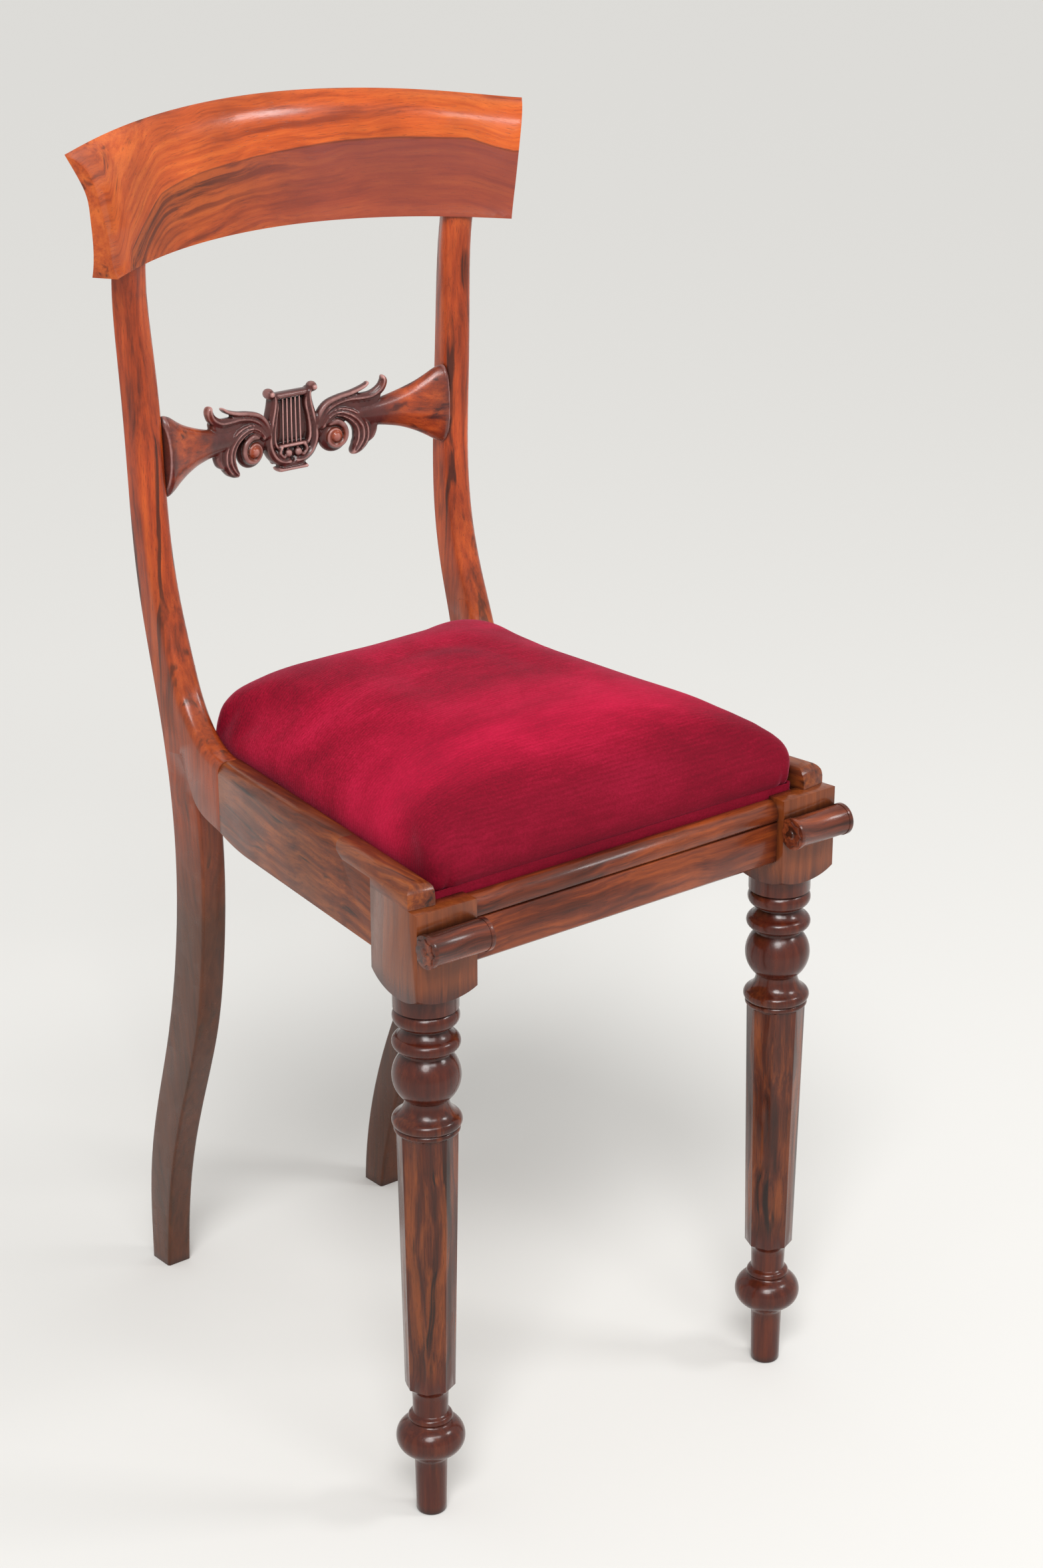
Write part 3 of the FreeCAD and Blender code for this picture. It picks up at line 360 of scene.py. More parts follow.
# Crimson velvet: a deep pile in rows, lighter where the nap lies over, with a painted highlight in a band
# behind the front edge and painted shade down the front. Places are in metres along Y.
velvetLook = dict(deep=(88, 2, 22), body=(150, 6, 40), brushedAndLit=(198, 24, 66), rows=0.0026, frontShadeStarts=-0.142,
                  frontShadeFull=-0.180, highlightBandFront=-0.165, highlightBandBack=-0.06)


def velvetMaterial():
    # nap = 0.45 strokes + 0.20 combed pile + 0.35 grit; a row is sin(2 pi y / rows)
    material, tree, shader = newMaterial("velvet")
    place, axes = objectPlace(tree)
    slow = put(tree, "ShaderNodeMapping", {"Vector": place, "Rotation": (0, 0, 0.12),
                                           "Scale": (0.55, 1.0, 1.0)})
    strokes = noise(tree, slow.outputs["Vector"], 15.0, 5.0, 0.6, 0.3)
    combed = put(tree, "ShaderNodeMapping", {"Vector": place, "Scale": (0.12, 1.0, 1.0)})
    fine = noise(tree, combed.outputs["Vector"], 520.0, 4.0, 0.7)
    row = reckon(tree, "SINE", times(tree, axes["Y"], 2 * math.pi / velvetLook["rows"]))
    grit = plus(tree, noise(tree, place, 640.0, 4.0, 0.8), times(tree, row, 0.04))
    nap = plus(tree, times(tree, strokes, 0.45), times(tree, fine, 0.20))
    nap = plus(tree, nap, times(tree, grit, 0.35))
    deep, body, brushedAndLit = (tone(*velvetLook[shade]) for shade in ("deep", "body", "brushedAndLit"))
    colour = ramp(tree, nap, [(0.34, deep), (0.50, body), (0.66, brushedAndLit)])
    # painted shade: the pad darkens towards the deep tone down its front
    frontShade = mapTo(tree, axes["Y"], velvetLook["frontShadeStarts"], velvetLook["frontShadeFull"])
    colour = blendColour(tree, times(tree, frontShade, 0.6), colour, deep)
    # painted highlight: a lit band behind the front edge, broken up by the nap strokes, in the brushed nap's
    # light tone
    highlightBand = mapTo(tree, axes["Y"], velvetLook["highlightBandFront"], velvetLook["highlightBandBack"])
    lit = ramp(tree, highlightBand, [(0.0, 0.0), (0.35, 1.0), (1.0, 0.0)])
    colour = blendColour(tree, times(tree, times(tree, lit, strokes), 0.75), colour, brushedAndLit)
    tree.links.new(colour, shader.inputs["Base Color"])
    shader.inputs["Roughness"].default_value = 0.85
    shader.inputs["Specular IOR Level"].default_value = 0.15
    shader.inputs["Sheen Weight"].default_value = 0.55
    shader.inputs["Sheen Roughness"].default_value = 0.25
    shader.inputs["Sheen Tint"].default_value = tone(236, 120, 150)
    emboss(tree, shader, plus(tree, times(tree, row, 0.10), noise(tree, place, 1900.0, 2.0)), 0.55, 0.0005)
    return material


def weaveMaterial(name, light, dark, pitch):
    # plain weave: sin(2 pi x / pitch) * sin(2 pi y / pitch), with slubs of noise
    material, tree, shader = newMaterial(name)
    place, axes = objectPlace(tree)
    across, along = (reckon(tree, "SINE", times(tree, axes[way], 2 * math.pi / pitch)) for way in "XY")
    level = plus(tree, times(tree, times(tree, across, along), 0.25), noise(tree, place, 260.0, 4.0))
    colour = ramp(tree, level, [(0.25, tone(*dark)), (0.75, tone(*light))])
    tree.links.new(colour, shader.inputs["Base Color"])
    shader.inputs["Roughness"].default_value = 0.9
    emboss(tree, shader, level, 0.6, 0.0006)
    return material


def steelMaterial():
    # blued steel: fine noise between a dark and a light grey
    material, tree, shader = newMaterial("blued_steel")
    place, _ = objectPlace(tree)
    colour = ramp(tree, noise(tree, place, 900.0, 3.0), [(0.3, tone(52, 50, 54)), (0.7, tone(98, 94, 92))])
    tree.links.new(colour, shader.inputs["Base Color"])
    shader.inputs["Metallic"].default_value = 0.9
    shader.inputs["Roughness"].default_value = 0.42
    return material


materials = {name: woodMaterial(name, spec) for name, spec in woods.items()}
materials["plain"] = plainWood("bare_wood", (150, 104, 66), (104, 68, 42), "X")
materials["seatWood"] = plainWood("seat_wood", (196, 156, 106), (150, 110, 70), "Y")
materials["velvet"] = velvetMaterial()
materials["webbing"] = weaveMaterial("jute_webbing", (176, 146, 98), (104, 82, 52), 0.0024)
materials["hessian"] = weaveMaterial("hessian_cloth", (190, 160, 112), (112, 88, 56), 0.0016)
materials["steel"] = steelMaterial()
print("stage: materials made")


# Wooden pieces: a copy of each CAD piece, merged, with its sharp edges eased as years of handling leave them.
# ease is the width of the eased edge in millimetres; above lip, a leg has the side rail's wood.
eased = {
    "crown_rail": dict(material="crown", ease=0.9),
    "left_back_post": dict(material="stile", ease=0.6),
    "right_back_post": dict(material="stile", ease=0.6),
    "left_side_rail": dict(material="side", ease=0.5),
    "right_side_rail": dict(material="side", ease=0.5),
    "front_rail": dict(material="front", ease=0.5),
    "back_rail": dict(material="front", ease=0.5),
    "left_front_leg": dict(material="leg", ease=0.5, lip=0.4485),
    "right_front_leg": dict(material="leg", ease=0.5, lip=0.4485),
    "left_front_roll": dict(material="roll", ease=0.3),
    "right_front_roll": dict(material="roll", ease=0.3),
}
easing = dict(mergeWithin=0.00002, shortest=0.00001, bevelsFrom=38, staysSharpFrom=34)


def meshObject(name, mesh, material, body, replaced=()):
    # a mesh put in the scene on one body, with one material and slot, in place of the CAD nodes it replaces
    made = bpy.data.objects.new(name, mesh)
    bpy.context.scene.collection.objects.link(made)
    mesh.materials.clear()
    mesh.materials.append(material)
    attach(made, body)
    if replaced:
        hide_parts(*replaced)
    return made


def addModifier(item, name, kind, **settings):
    # a live modifier with its settings
    modifier = item.modifiers.new(name, kind)
    for setting, value in settings.items():
        setattr(modifier, setting, value)
    return modifier


def applyModifiers(item):
    # the mesh as its modifiers leave it takes the place of the plain one
    view = bpy.context.evaluated_depsgraph_get()
    mesh = bpy.data.meshes.new_from_object(item.evaluated_get(view))
    item.modifiers.clear()
    item.data = mesh


def mergedCopy(node, name, mended=False):
    # the CAD node's loose triangles, merged where their corners meet within a fiftieth of a millimetre; where
    # mended is set, the copy also loses its slivers and has all faces pointing outwards
    work = bmesh.new()
    work.from_mesh(frame["nodes"][node].data)
    bmesh.ops.remove_doubles(work, verts=work.verts, dist=easing["mergeWithin"])
    if mended:
        bmesh.ops.dissolve_degenerate(work, edges=work.edges, dist=easing["shortest"])
        bmesh.ops.recalc_face_normals(work, faces=work.faces)
    mesh = bpy.data.meshes.new(name)
    work.to_mesh(mesh)
    work.free()
    return mesh


def easedCopy(node, spec):
    # every edge that turns by more than 38 degrees becomes a bevel of two strips, as wide as the piece's ease
    piece = meshObject(node + "_wood", mergedCopy(node, node + "_eased", mended=True),
                       materials[spec["material"]], "chair_frame", [node])
    addModifier(piece, "ease", "BEVEL", width=spec["ease"] * mm, segments=2, limit_method="ANGLE",
                angle_limit=math.radians(easing["bevelsFrom"]), use_clamp_overlap=True)
    applyModifiers(piece)
    if "lip" in spec:
        piece.data.materials.append(materials["side"])
        for face in piece.data.polygons:
            face.material_index = int(face.center.z > spec["lip"])
    piece.data.shade_smooth()
    piece.data.set_sharp_from_angle(angle=math.radians(easing["staysSharpFrom"]))


for node, spec in eased.items():
    easedCopy(node, spec)
print("stage: wooden pieces eased")

slotMaterials = {"plain_wood": "plain", "seat_wood": "seatWood", "steel": "steel", "webbing": "webbing",
                 "hessian": "hessian", "stuffing": "hessian", "velvet": "velvet", "polished_wood": "carving"}
for entry in frame["record"]["subparts"]:
    cadPiece = frame["nodes"][entry["node"]]
    cadPiece.data.materials.clear()
    cadPiece.data.materials.append(materials[slotMaterials[entry["material_slot"]]])


# Surfaces on a grid

def gridFaces(rows, columns, closeRows=False, closeColumns=False):
    # each square of four neighbouring points is one face; a closed direction comes round to its first points
    index = np.arange(rows * columns).reshape(rows, columns)
    if closeRows:
        index = np.vstack([index, index[:1]])
    if closeColumns:
        index = np.hstack([index, index[:, :1]])
    corners = [index[:-1, :-1], index[:-1, 1:], index[1:, 1:], index[1:, :-1]]
    return np.stack(corners, axis=-1).reshape(-1, 4)


def gridMesh(name, points, closeRows=False, closeColumns=False):
    # points is an array of rows by columns by 3
    faces = gridFaces(*points.shape[:2], closeRows, closeColumns)
    mesh = bpy.data.meshes.new(name)
    mesh.from_pydata(points.reshape(-1, 3).tolist(), [], faces.tolist())
    mesh.update()
    return mesh


def joined(name, grids):
    # tubes put together in one mesh, each closed round and capped at its first and last row
    points, faces, start = [], [], 0
    for grid in grids:
        rows, columns = grid.shape[:2]
        firstRow = np.arange(columns) + start
        lastRow = firstRow + (rows - 1) * columns
        faces += (gridFaces(rows, columns, closeColumns=True) + start).tolist()
        faces += [firstRow[::-1].tolist(), lastRow.tolist()]
        points.append(grid.reshape(-1, 3))
        start += rows * columns
    mesh = bpy.data.meshes.new(name)
    mesh.from_pydata(np.vstack(points).tolist(), [], faces)
    mesh.update()
    work = bmesh.new()
    work.from_mesh(mesh)
    bmesh.ops.recalc_face_normals(work, faces=work.faces)
    work.to_mesh(mesh)
    work.free()
    return mesh


def readPoints(mesh, what="co"):
    # the places or the normals of all vertices, as rows of x, y and z
    values = np.empty(len(mesh.vertices) * 3, dtype=np.float32)
    if what == "normal":
        mesh.vertex_normals.foreach_get("vector", values)
    else:
        mesh.vertices.foreach_get("co", values)
    return values.reshape(-1, 3).astype(float)


def writePoints(mesh, points):
    # new places for all vertices
    mesh.vertices.foreach_set("co", points.astype(np.float32).ravel())
    mesh.update()


# Carved cross rail: leaves, volutes and a lyre on a curved ground. Outlines are in millimetres on the rail's
# unrolled front, x to the right and z up; they are laid on the rail's arc.
carving = dict(radius=330.0, axisY=-157.25, waist=654.5, eyeX=36.0, eyeZ=641.0, voxel=0.70, smoothRounds=3,
               smoothing=0.4, reliefRounds=3, reliefGain=2.2)
lyreWires = dict(count=5, pitch=3.8, foot=640.2, middle=657, head=675.4, headShare=0.95, out=2.9)


def onArc(x, out, z):
    # x is carried round the arc, angle = arcsin(x / radius); out is the distance in front of its middle
    angle = np.arcsin(np.clip(x / carving["radius"], -1, 1))
    reach = carving["radius"] - out
    return np.stack([reach * np.sin(angle), carving["axisY"] + reach * np.cos(angle), z + 0 * x], axis=-1) * mm


def smoothPath(values, count):
    # a Catmull-Rom curve through the given rows, sampled evenly in its parameter
    rows = np.array(values, dtype=float)
    ends = np.vstack([2 * rows[0] - rows[1], rows, 2 * rows[-1] - rows[-2]])
    t = np.linspace(0, len(rows) - 1 - 1e-9, count)
    k = t.astype(int)
    f = (t - k)[:, None]
    a, b, c, d = ends[k], ends[k + 1], ends[k + 2], ends[k + 3]
    bend = (2 * a - 5 * b + 4 * c - d) * f ** 2
    twist = (3 * b - a - 3 * c + d) * f ** 3
    return 0.5 * (2 * b + (c - a) * f + bend + twist)


def roundEnd(share, blunt):
    # a quarter circle that opens from 0 to 1 over the first blunt share of a path
    return np.sqrt(np.clip(1 - np.clip(1 - share / blunt, 0, 1) ** 2, 0, 1))


def limb(path, widths, depth, lift, side=1, ridges=0, ridgeDepth=0.0, count=90, around=56, blunt=0.06):
    # a rounded bar along a path: half width from the list, half depth given, and grooves along its front as
    # cos(2 pi * ridges * place across); its section is a squarish oval, and both ends close in a point
    line = smoothPath(path, count)
    share = np.linspace(0, 1, count)
    half = np.interp(share, np.linspace(0, 1, len(widths)), widths)
    tangent = np.gradient(line, axis=0)
    tangent /= np.linalg.norm(tangent, axis=1, keepdims=True)
    close = np.maximum(roundEnd(share, blunt) * roundEnd(1 - share, blunt), 0.02)[:, None]
    theta = np.linspace(0, 2 * math.pi, around, endpoint=False)[None, :]
    c, s = np.cos(theta), np.sin(theta)
    across = np.sign(c) * np.abs(c) ** 0.85 * half[:, None] * close
    groove = 1 - ridgeDepth * (0.5 - 0.5 * np.cos(2 * math.pi * ridges * c)) * (s > 0) if ridges else 1.0
    out = lift + depth * close * np.sign(s) * np.abs(s) ** 0.8 * groove
    x = line[:, :1] - tangent[:, 1:] * across
    z = line[:, 1:] + tangent[:, :1] * across
    points = onArc(side * x, out, z)
    return points if side > 0 else points[:, ::-1]


def ball(x, z, radius, out, side=1, flat=1.0, count=24):
    # a sphere, flattened or stretched across the rail
    up = np.linspace(-math.pi / 2 + 0.01, math.pi / 2 - 0.01, count)[:, None]
    turn = np.linspace(0, 2 * math.pi, 2 * count, endpoint=False)[None, :]
    px = x + radius * np.cos(up) * np.cos(turn)
    pz = z + radius * np.cos(up) * np.sin(turn)
    points = onArc(side * px, out + radius * flat * np.sin(up), pz)
    return points if side > 0 else points[:, ::-1]


def block(left, right, low, high, back, front):
    # a rounded block as a limb that lies along x and ends bluntly
    level = (low + high) / 2
    path = [(left, level), ((left + right) / 2, level), (right, level)]
    return limb(path, [(high - low) / 2] * 3, (front - back) / 2, (front + back) / 2, count=60, blunt=0.03)


def bell(side):
    # the horn from the carving to the post: its half height grows as a bell's, its section is an ellipse; each
    # row has the place, the half height, the half depth and how far the middle lies over the waist
    rows = [(50, 6.4, 5.6, -1.5), (60, 8.0, 6.5, -1.5), (70, 9.4, 7.0, -1.2), (80, 11.4, 7.8, -0.6),
            (90, 14.2, 8.4, 0), (100, 18.2, 8.9, 0.2), (108, 22.6, 9.2, 0.4), (114, 26.4, 9.5, 0.5),
            (118.5, 28.3, 9.7, 0.5), (120.5, 28.5, 9.7, 0.5), (122.0, 27.4, 9.3, 0.5), (123.5, 24, 8.8, 0.5)]
    x, tall, deep, lift = smoothPath(rows, 90).T[:, :, None]
    theta = np.linspace(0, 2 * math.pi, 96, endpoint=False)[None, :]
    points = onArc(side * x + 0 * theta, deep * np.sin(theta), carving["waist"] + lift + tall * np.cos(theta))
    return points[:, ::-1] if side > 0 else points


def volute(side):
    # a rope winding in: its distance from the eye falls as exp(-turn / 8), its thickness as exp(-turn / 14)
    turn = np.linspace(0, 3.9 * math.pi, 19)
    reach = 11.4 * np.exp(-turn / 8.0)
    path = np.stack([carving["eyeX"] + reach * np.cos(2.2 - turn),
                     carving["eyeZ"] + reach * np.sin(2.2 - turn)], axis=1)
    return limb(path, (2.5 * np.exp(-turn / 14)).tolist(), 2.6, 4.4, side, count=200, around=28)


def leaves(side):
    # five limbs, each along its own curve: two rise to the horn, one lies under them and two droop
    upper = [(20, 648), (22, 655), (25.5, 661.5), (31, 666), (40, 668.8), (50, 670.8), (60, 674.3),
             (64, 677.5)]
    lower = [(22, 647), (24.5, 654), (29.5, 660), (37, 664.3), (47, 666.3), (57, 666.2), (66, 667), (73, 671),
             (75.8, 676.5), (74.6, 681)]
    under = [(25, 650), (33, 657.5), (43, 661.5), (54, 661.5), (64, 661), (70.5, 664.5), (72.5, 669)]
    drop = [(24, 647), (29.5, 654.3), (37, 658), (45.5, 656.5), (53, 652), (57.8, 645.5), (58.4, 637.5),
            (55, 630.8), (49.5, 625.3)]
    fringe = [(50, 658.5), (58, 657), (64.5, 651.5), (67.5, 644), (66, 637.5), (62.5, 633.5)]
    return [limb(upper, [2.4, 2.6, 2.4, 2.2, 2.0, 1.8, 1.5, 0.8], 3.4, 3.0, side),
            limb(lower, [2.8, 3.0, 3.2, 3.2, 3.2, 3.2, 3.4, 3.4, 2.8, 1.2], 3.8, 2.4, side, 1, 0.22),
            limb(under, [2.6, 3.0, 3.2, 3.4, 3.4, 3.0, 1.4], 3.6, 0.8, side),
            limb(drop, [2.4, 3.2, 4.2, 5.2, 6.2, 7.0, 7.0, 5.2, 1.6], 5.2, 1.8, side, 2, 0.30, 120, 72),
            limb(fringe, [2.2, 3.2, 3.4, 3.4, 2.8, 1.2], 3.6, 1.2, side)]


def scrollSide(side):
    # one side's leaves, the ground that carries them, the volute with its eye, and the horn
    eyeX, eyeZ = carving["eyeX"], carving["eyeZ"]
    ground = [ball(eyeX, eyeZ, 12.4, 0.2, side, 0.42),
              limb([(15, 644), (22, 646), (30, 649)], [5.5, 5.0, 4.5], 3.6, 0.0, side),
              limb([(28, 655), (44, 658), (62, 656)], [4.5, 6.0, 5.5], 4.2, -1.0, side)]
    return leaves(side) + ground + [volute(side), ball(eyeX, eyeZ, 4.2, 5.0, side), bell(side)]


def lyreSide(side):
    # one arm of the lyre with its inner line, the two balls of its knob, the ball at its foot and a short curl
    arm = [(17.6, 679.5), (15.2, 675.5), (15.6, 669), (17.8, 660), (20.0, 650), (19.8, 641), (15.6, 632.8),
           (8.5, 628.6), (0, 628.0)]
    inner = [(13.2, 676), (12.6, 668), (14.4, 659), (15.6, 650), (15.0, 642.5), (11.0, 637)]
    curl = [(9.8, 640), (11.6, 635.6), (8.6, 632), (6.0, 634)]
    knobX, knobZ = 18.6, 679.2
    return [limb(arm, [1.8, 2.2, 2.7, 3.0, 3.3, 3.4, 3.4, 3.4, 3.4], 5.6, 0.6, side, 1, 0.18, 110),
            limb(inner, [1.0, 1.3, 1.4, 1.5, 1.5, 1.2], 4.2, 0.6, side),
            ball(knobX, knobZ, 3.9, 1.6, side, 1.25), ball(knobX, knobZ, 2.0, 6.2, side),
            ball(4.3, 634.4, 3.1, 3.8, side), limb(curl, [1.3, 1.5, 1.4, 1.0], 2.4, 3.6, side)]


def lyreMiddle():
    # the panel in its two halves, the yoke, the bridge and the two steps of the foot
    return [block(-16.5, 16.5, 640.0, 673.0, -3.6, 0.6), block(-16.5, 16.5, 627.0, 640.0, -4.6, 2.4),
            block(-16.0, 16.0, 674.0, 678.8, -4.2, 4.8), block(-12.0, 12.0, 638.4, 641.2, -1.0, 5.2),
            block(-12.6, 12.6, 621.4, 624.8, -4.8, 6.6), block(-9.5, 9.5, 624.2, 628.4, -4.2, 5.4)]


def strings():
    # evenly spaced thin limbs from the bridge to the yoke, drawn together a little towards the yoke
    rods = []
    for k in range(lyreWires["count"]):
        foot = lyreWires["pitch"] * (k - (lyreWires["count"] - 1) / 2)
        head = foot * lyreWires["headShare"]
        path = [(foot, lyreWires["foot"]), ((foot + head) / 2, lyreWires["middle"]), (head, lyreWires["head"])]
        rods.append(limb(path, [0.6, 0.55, 0.6], 0.6, lyreWires["out"], count=30, around=12))
    return rods


def storeRelief(mesh):
    # how far the neighbours lie below a point's own tangent plane, on average: ridges high, hollows low
    points, normals = readPoints(mesh), readPoints(mesh, "normal")
    ends = np.empty(len(mesh.edges) * 2, dtype=np.int32)
    mesh.edges.foreach_get("vertices", ends)
    a, b = ends.reshape(-1, 2).T
    total, count = np.zeros(len(points)), np.zeros(len(points))
    step = points[b] - points[a]
    length = np.maximum(np.linalg.norm(step, axis=1), 1e-9)
    np.add.at(total, a, -(normals[a] * step).sum(axis=1) / length)
    np.add.at(total, b, (normals[b] * step).sum(axis=1) / length)
    np.add.at(count, a, 1)
    np.add.at(count, b, 1)
    value = total / np.maximum(count, 1)
    for _ in range(carving["reliefRounds"]):  # each round takes the mean with the neighbours
        spread, weight = value.copy(), np.ones(len(points))
        np.add.at(spread, a, value[b])
        np.add.at(spread, b, value[a])
        np.add.at(weight, a, 1)
        np.add.at(weight, b, 1)
        value = spread / weight
    layer = mesh.attributes.new("relief", "FLOAT", "POINT")
    layer.data.foreach_set("value", np.clip(0.5 + value * carving["reliefGain"], 0, 1).astype(np.float32))


def makeCrossRail():
    # all limbs, balls and blocks grown together by a voxel remesh and smoothed; the strings stay thin rods
    grids = lyreMiddle()
    for side in (-1, 1):
        grids += scrollSide(side) + lyreSide(side)
    rail = meshObject("carved_cross_rail", joined("carved_cross_rail", grids), materials["carving"],
                      "chair_frame", ["lyre_cross_rail"])
    addModifier(rail, "remesh", "REMESH", mode="VOXEL", voxel_size=carving["voxel"] * mm)
    addModifier(rail, "smooth", "SMOOTH", iterations=carving["smoothRounds"], factor=carving["smoothing"])
    applyModifiers(rail)
    rail.data.shade_smooth()
    storeRelief(rail.data)
    wires = meshObject("lyre_strings", joined("lyre_strings", strings()), materials["carving"], "chair_frame")
    wires.data.shade_smooth()
    storeRelief(wires.data)
    print("stage: cross rail carved,", len(rail.data.polygons), "faces")


# Velvet seat: the stuffing's own form swollen by its filling, and the strip of velvet that goes down its sides
# and under the frame. Metres; the half width at any Y is halfAtZero less opening times Y.
seat = dict(frontY=-0.19085, backY=0.11335, halfAtZero=0.12950, opening=0.1288, voxel=0.0048, cover=0.0016,
            frontBulge=0.0055, cornerReach=0.0075, worn=0.011, wave=0.0007, fold=0.0016)
swelling = dict(quality=5, mass=0.3, pressure=4.0, stretch=25.0, bend=4.0, heldBelow=0.458, frames=20,
                longest=0.006)
calming = dict(above=0.47, steps=((0.012, 0.15), (0.020, 0.4), (0.030, 0.7), (0.042, 1.0)), rounds=45)
skirtSizes = dict(top=0.4525, innerTop=0.4515, bend=0.436, low=0.4253, corner=0.001, thick=0.0012,
                  under=0.018, samples=1440, power=110)


def halfWidth(y):
    # the seat narrows in a straight line towards the back
    return seat["halfAtZero"] - seat["opening"] * y


def seatPlan(across, deep, grow):
    # a place on the square from -1 to 1, put on the seat's trapezoid grown by a margin
    middle = (seat["frontY"] + seat["backY"]) / 2
    half = (seat["backY"] - seat["frontY"]) / 2 + grow
    y = middle + deep * half
    return across * (halfWidth(y) + grow), y


def squircle(angle, power):
    # the direction's point on the curve |x|^power + |y|^power = 1
    c, s = np.cos(angle), np.sin(angle)
    size = (np.abs(c) ** power + np.abs(s) ** power) ** (-1.0 / power)
    return c * size, s * size


def rise(value, start, length):
    # 0 up to the start, then in a straight line to 1 over the length
    return np.clip((value - start) / length, 0, 1)


def shapePad(mesh):
    # every point moves out by the velvet's thickness; the front wall bows out over the front rail as
    # sin(pi * height share), most near the two corners, and the corners reach sideways; the left back corner
    # is worn down; low waves run over the crown, and a narrow fold runs down at each front corner
    points = readPoints(mesh)
    points += readPoints(mesh, "normal") * seat["cover"]
    x, y, z = points.T
    reach = np.abs(x)
    nearFront = (1 - rise(y, seat["frontY"], 0.030)) ** 1.5
    corner = 0.55 + 0.45 * np.clip(reach / 0.15, 0, 1) ** 3
    bow = np.sin(math.pi * rise(z, 0.4505, 0.046) ** 0.8)
    points[:, 1] -= seat["frontBulge"] * bow * nearFront * corner
    sideways = np.sign(x) * rise(reach / halfWidth(y), 0.86, 0.14) ** 2
    points[:, 0] += seat["cornerReach"] * sideways * nearFront * np.sin(math.pi * rise(z, 0.463, 0.045))
    sunk = rise(-x, 0.01, 0.10) * rise(y, 0.01, 0.10)
    points[:, 2] -= seat["worn"] * sunk ** 1.5 * rise(z, 0.455, 0.045)
    wave = np.sin(x * 41 + 1.3 * np.sin(y * 23)) * np.cos(y * 34 + 0.7) + 0.6 * np.sin(x * 19 - y * 27 + 2.0)
    points[:, 2] += seat["wave"] * wave * rise(z, 0.485, 0.02)
    fold = np.exp(-((np.abs(x) - 0.1435 + 0.10 * (z - 0.45)) / 0.0022) ** 2) * rise(-z, -0.478, 0.02)
    points[:, 1] += seat["fold"] * fold * nearFront
    writePoints(mesh, points)


def simulate(pad):
    # the pad swells a little under its own stuffing: cloth with inner pressure and no gravity, held at the
    # frame; each point's move is then cut to the longest one allowed
    rest = readPoints(pad.data)
    hold = pad.vertex_groups.new(name="hold")
    hold.add(np.nonzero(rest[:, 2] < swelling["heldBelow"])[0].tolist(), 1.0, "REPLACE")
    cloth = pad.modifiers.new("cloth", "CLOTH")
    settings = cloth.settings
    settings.quality = swelling["quality"]
    settings.mass = swelling["mass"]
    settings.use_pressure = True
    settings.uniform_pressure_force = swelling["pressure"]
    settings.vertex_group_mass = "hold"
    settings.effector_weights.gravity = 0.0
    settings.tension_stiffness = swelling["stretch"]
    settings.compression_stiffness = swelling["stretch"]
    settings.bending_stiffness = swelling["bend"]
    cloth.collision_settings.use_collision = False
    scene = bpy.context.scene
    for number in range(1, swelling["frames"] + 1):
        scene.frame_set(number)
    applyModifiers(pad)
    step = readPoints(pad.data) - rest
    length = np.linalg.norm(step, axis=1, keepdims=True)
    step *= np.minimum(1.0, swelling["longest"] / np.maximum(length, 1e-9))
    writePoints(pad.data, rest + step)
    scene.frame_set(1)
    print("stage: cushion simulated, longest move", round(float(length.max()) / mm, 1), "mm")


def calmCrown(pad):
    # the crown is smoothed the more, the farther a point lies in from the seat's edge
    x, y, z = readPoints(pad.data).T
    inset = np.minimum(halfWidth(y) - np.abs(x), np.minimum(y - seat["frontY"], seat["backY"] - y))
    crown = pad.vertex_groups.new(name="crown")
    for low, weight in calming["steps"]:
        chosen = np.nonzero((inset > low) & (z > calming["above"]))[0].tolist()
        crown.add(chosen, weight, "REPLACE")
    addModifier(pad, "calm", "SMOOTH", iterations=calming["rounds"], factor=0.5, vertex_group="crown")


def makeCushion():
    # the stuffing's CAD form remeshed in even squares, swollen, calmed, made finer and shaped
    pad = meshObject("seat_velvet", mergedCopy("seat_stuffing", "seat_velvet"), materials["velvet"],
                     "drop_in_seat", ["seat_cover", "seat_stuffing"])
    addModifier(pad, "remesh", "REMESH", mode="VOXEL", voxel_size=seat["voxel"])
    applyModifiers(pad)
    simulate(pad)
    calmCrown(pad)
    addModifier(pad, "smooth", "SMOOTH", iterations=4, factor=0.5)
    addModifier(pad, "fine", "SUBSURF", levels=1, render_levels=1)
    applyModifiers(pad)
    shapePad(pad.data)
    pad.data.shade_smooth()


def makeSkirt():
    # a thin wall round the seat frame: its closed profile goes down the outside, under the frame and back, and
    # each point of it is carried round the seat's plan
    top, innerTop, bend, low = (skirtSizes[key] for key in ("top", "innerTop", "bend", "low"))
    corner, thick, under = (skirtSizes[key] for key in ("corner", "thick", "under"))
    profile = [(0.0, top), (0.0, bend), (0.0, low + corner), (-corner, low), (-under, low),
               (-under, low + thick), (-thick, low + thick), (-thick, bend), (-thick, innerTop)]
    angle = np.linspace(0, 2 * math.pi, skirtSizes["samples"], endpoint=False)
    across, deep = squircle(angle, skirtSizes["power"])
    rings = []
    for grow, z in profile:
        x, y = seatPlan(across, deep, grow)
        rings.append(np.stack([x, y, np.full_like(x, z)], axis=1))
    mesh = gridMesh("seat_velvet_edge", np.stack(rings), closeRows=True, closeColumns=True)
    skirt = meshObject("seat_velvet_edge", mesh, materials["velvet"], "drop_in_seat")
    skirt.data.shade_smooth()
    skirt.data.set_sharp_from_angle(angle=math.radians(50))


makeCrossRail()
makeCushion()
makeSkirt()
print("stage: cushion made")


# Floor, light and camera

floorSizes = dict(rings=[0.001, 1.0, 4.0, 30.0], around=64, height=-0.0002)


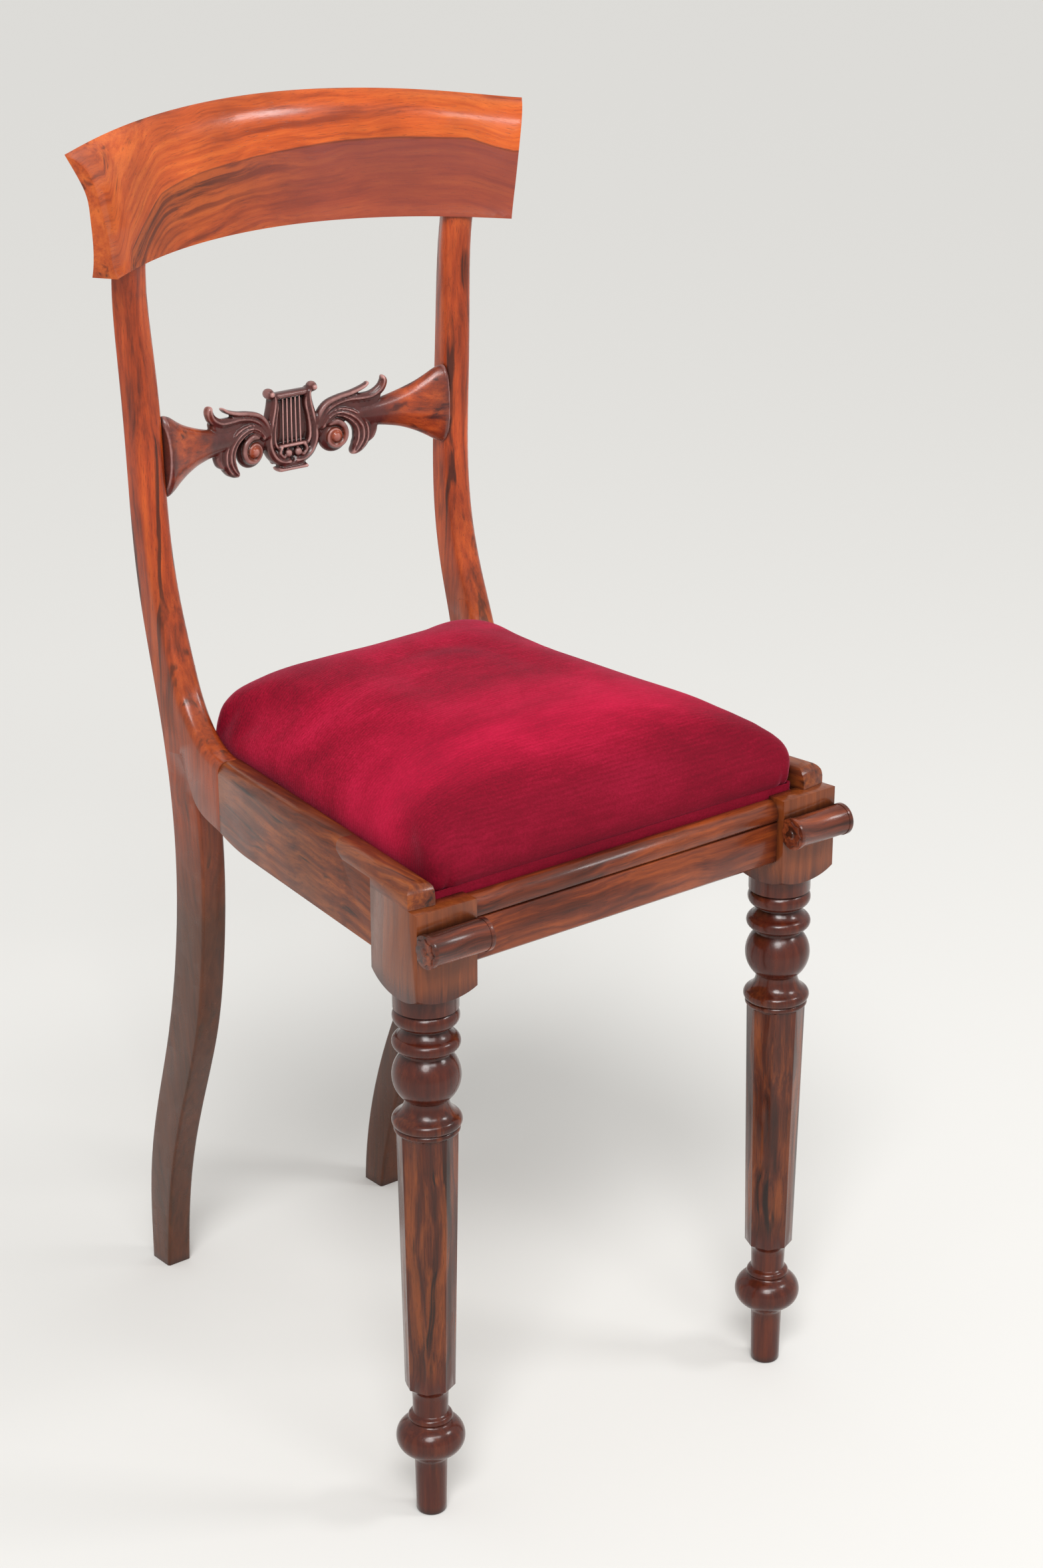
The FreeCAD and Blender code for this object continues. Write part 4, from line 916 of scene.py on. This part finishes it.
def makeFloor():
    # a flat disc: rings of points at the given radii, just under the feet
    radius = np.array(floorSizes["rings"])[:, None]
    angle = np.linspace(0, 2 * math.pi, floorSizes["around"], endpoint=False)[None, :]
    x, y = radius * np.cos(angle), radius * np.sin(angle)
    disc = np.stack([x, y, np.full_like(x, floorSizes["height"])], axis=-1)
    mesh = gridMesh("floor", disc, closeColumns=True)
    floor = bpy.data.objects.new("floor", mesh)
    bpy.context.scene.collection.objects.link(floor)
    material, _, shader = newMaterial("pale_floor")
    shader.inputs["Base Color"].default_value = tone(230, 229, 226)
    shader.inputs["Roughness"].default_value = 0.9
    shader.inputs["Specular IOR Level"].default_value = 0.1
    mesh.materials.append(material)


studio = dict(worldTone=(1.0, 0.994, 0.978, 1.0), worldLight=0.56, worldSeen=0.735, sunPower=1.55,
              sunAngle=24, sunSpot=(-2.2, -2.4, 3.6), sunTarget=(0, 0, 0.4), lampTarget=(0, 0.05, 0.6))
lamps = {
    "softbox": dict(spot=(-0.65, -1.6, 2.3), size=(1.7, 0.42), power=20.0),
    "window": dict(spot=(1.15, -1.25, 1.75), size=(0.5, 0.35), power=9.0),
}


def aim(item, spot, target):
    # at the spot, looking towards the target
    item.location = spot
    item.rotation_mode = "QUATERNION"
    item.rotation_quaternion = (Vector(target) - Vector(spot)).to_track_quat("-Z", "Y")


def makeWorld():
    # an even pale light all round, seen and mirrored brighter than it lights: strength = worldLight, plus
    # worldSeen - worldLight for rays of the camera, of mirrors and of glass
    world = bpy.data.worlds.new("studio")
    bpy.context.scene.world = world
    world.use_nodes = True
    tree = world.node_tree
    back = tree.nodes["Background"]
    path = put(tree, "ShaderNodeLightPath").outputs
    direct = reckon(tree, "MAXIMUM", path["Is Camera Ray"], path["Is Glossy Ray"])
    direct = reckon(tree, "MAXIMUM", direct, path["Is Transmission Ray"])
    seen = times(tree, direct, studio["worldSeen"] - studio["worldLight"])
    tree.links.new(plus(tree, seen, studio["worldLight"]), back.inputs["Strength"])
    back.inputs["Color"].default_value = studio["worldTone"]


def makeLights():
    # a broad sun from the left front, a long softbox above and a small window from the right
    sun = bpy.data.lights.new("sun", "SUN")
    sun.energy = studio["sunPower"]
    sun.angle = math.radians(studio["sunAngle"])
    sunItem = bpy.data.objects.new("sun", sun)
    aim(sunItem, studio["sunSpot"], studio["sunTarget"])
    bpy.context.scene.collection.objects.link(sunItem)
    for name, spec in lamps.items():
        lamp = bpy.data.lights.new(name, "AREA")
        lamp.shape = "RECTANGLE"
        lamp.size, lamp.size_y = spec["size"]
        lamp.energy = spec["power"]
        item = bpy.data.objects.new(name, lamp)
        aim(item, spec["spot"], studio["lampTarget"])
        bpy.context.scene.collection.objects.link(item)


# The photograph's view, worked out from the chair's own symmetry and the floor
shot = dict(azimuth=-39.1, elevation=20.9, distance=2.133, target=(0.0, -0.08925, 0.4577), lens=72.74,
            sensor=36.0)


def makeCamera():
    # the camera stands at its distance from the target, turned by the azimuth and raised by the elevation
    a, e = math.radians(shot["azimuth"]), math.radians(shot["elevation"])
    back = Vector((math.sin(a) * math.cos(e), -math.cos(a) * math.cos(e), math.sin(e)))
    camera = bpy.data.cameras.new("camera")
    camera.lens = shot["lens"]
    camera.sensor_width = shot["sensor"]
    item = bpy.data.objects.new("camera", camera)
    bpy.context.scene.collection.objects.link(item)
    aim(item, Vector(shot["target"]) + back * shot["distance"], shot["target"])
    bpy.context.scene.camera = item


makeFloor()
makeWorld()
makeLights()
makeCamera()
bpy.context.scene.view_settings.view_transform = "Standard"
print("stage: floor, light and camera set")
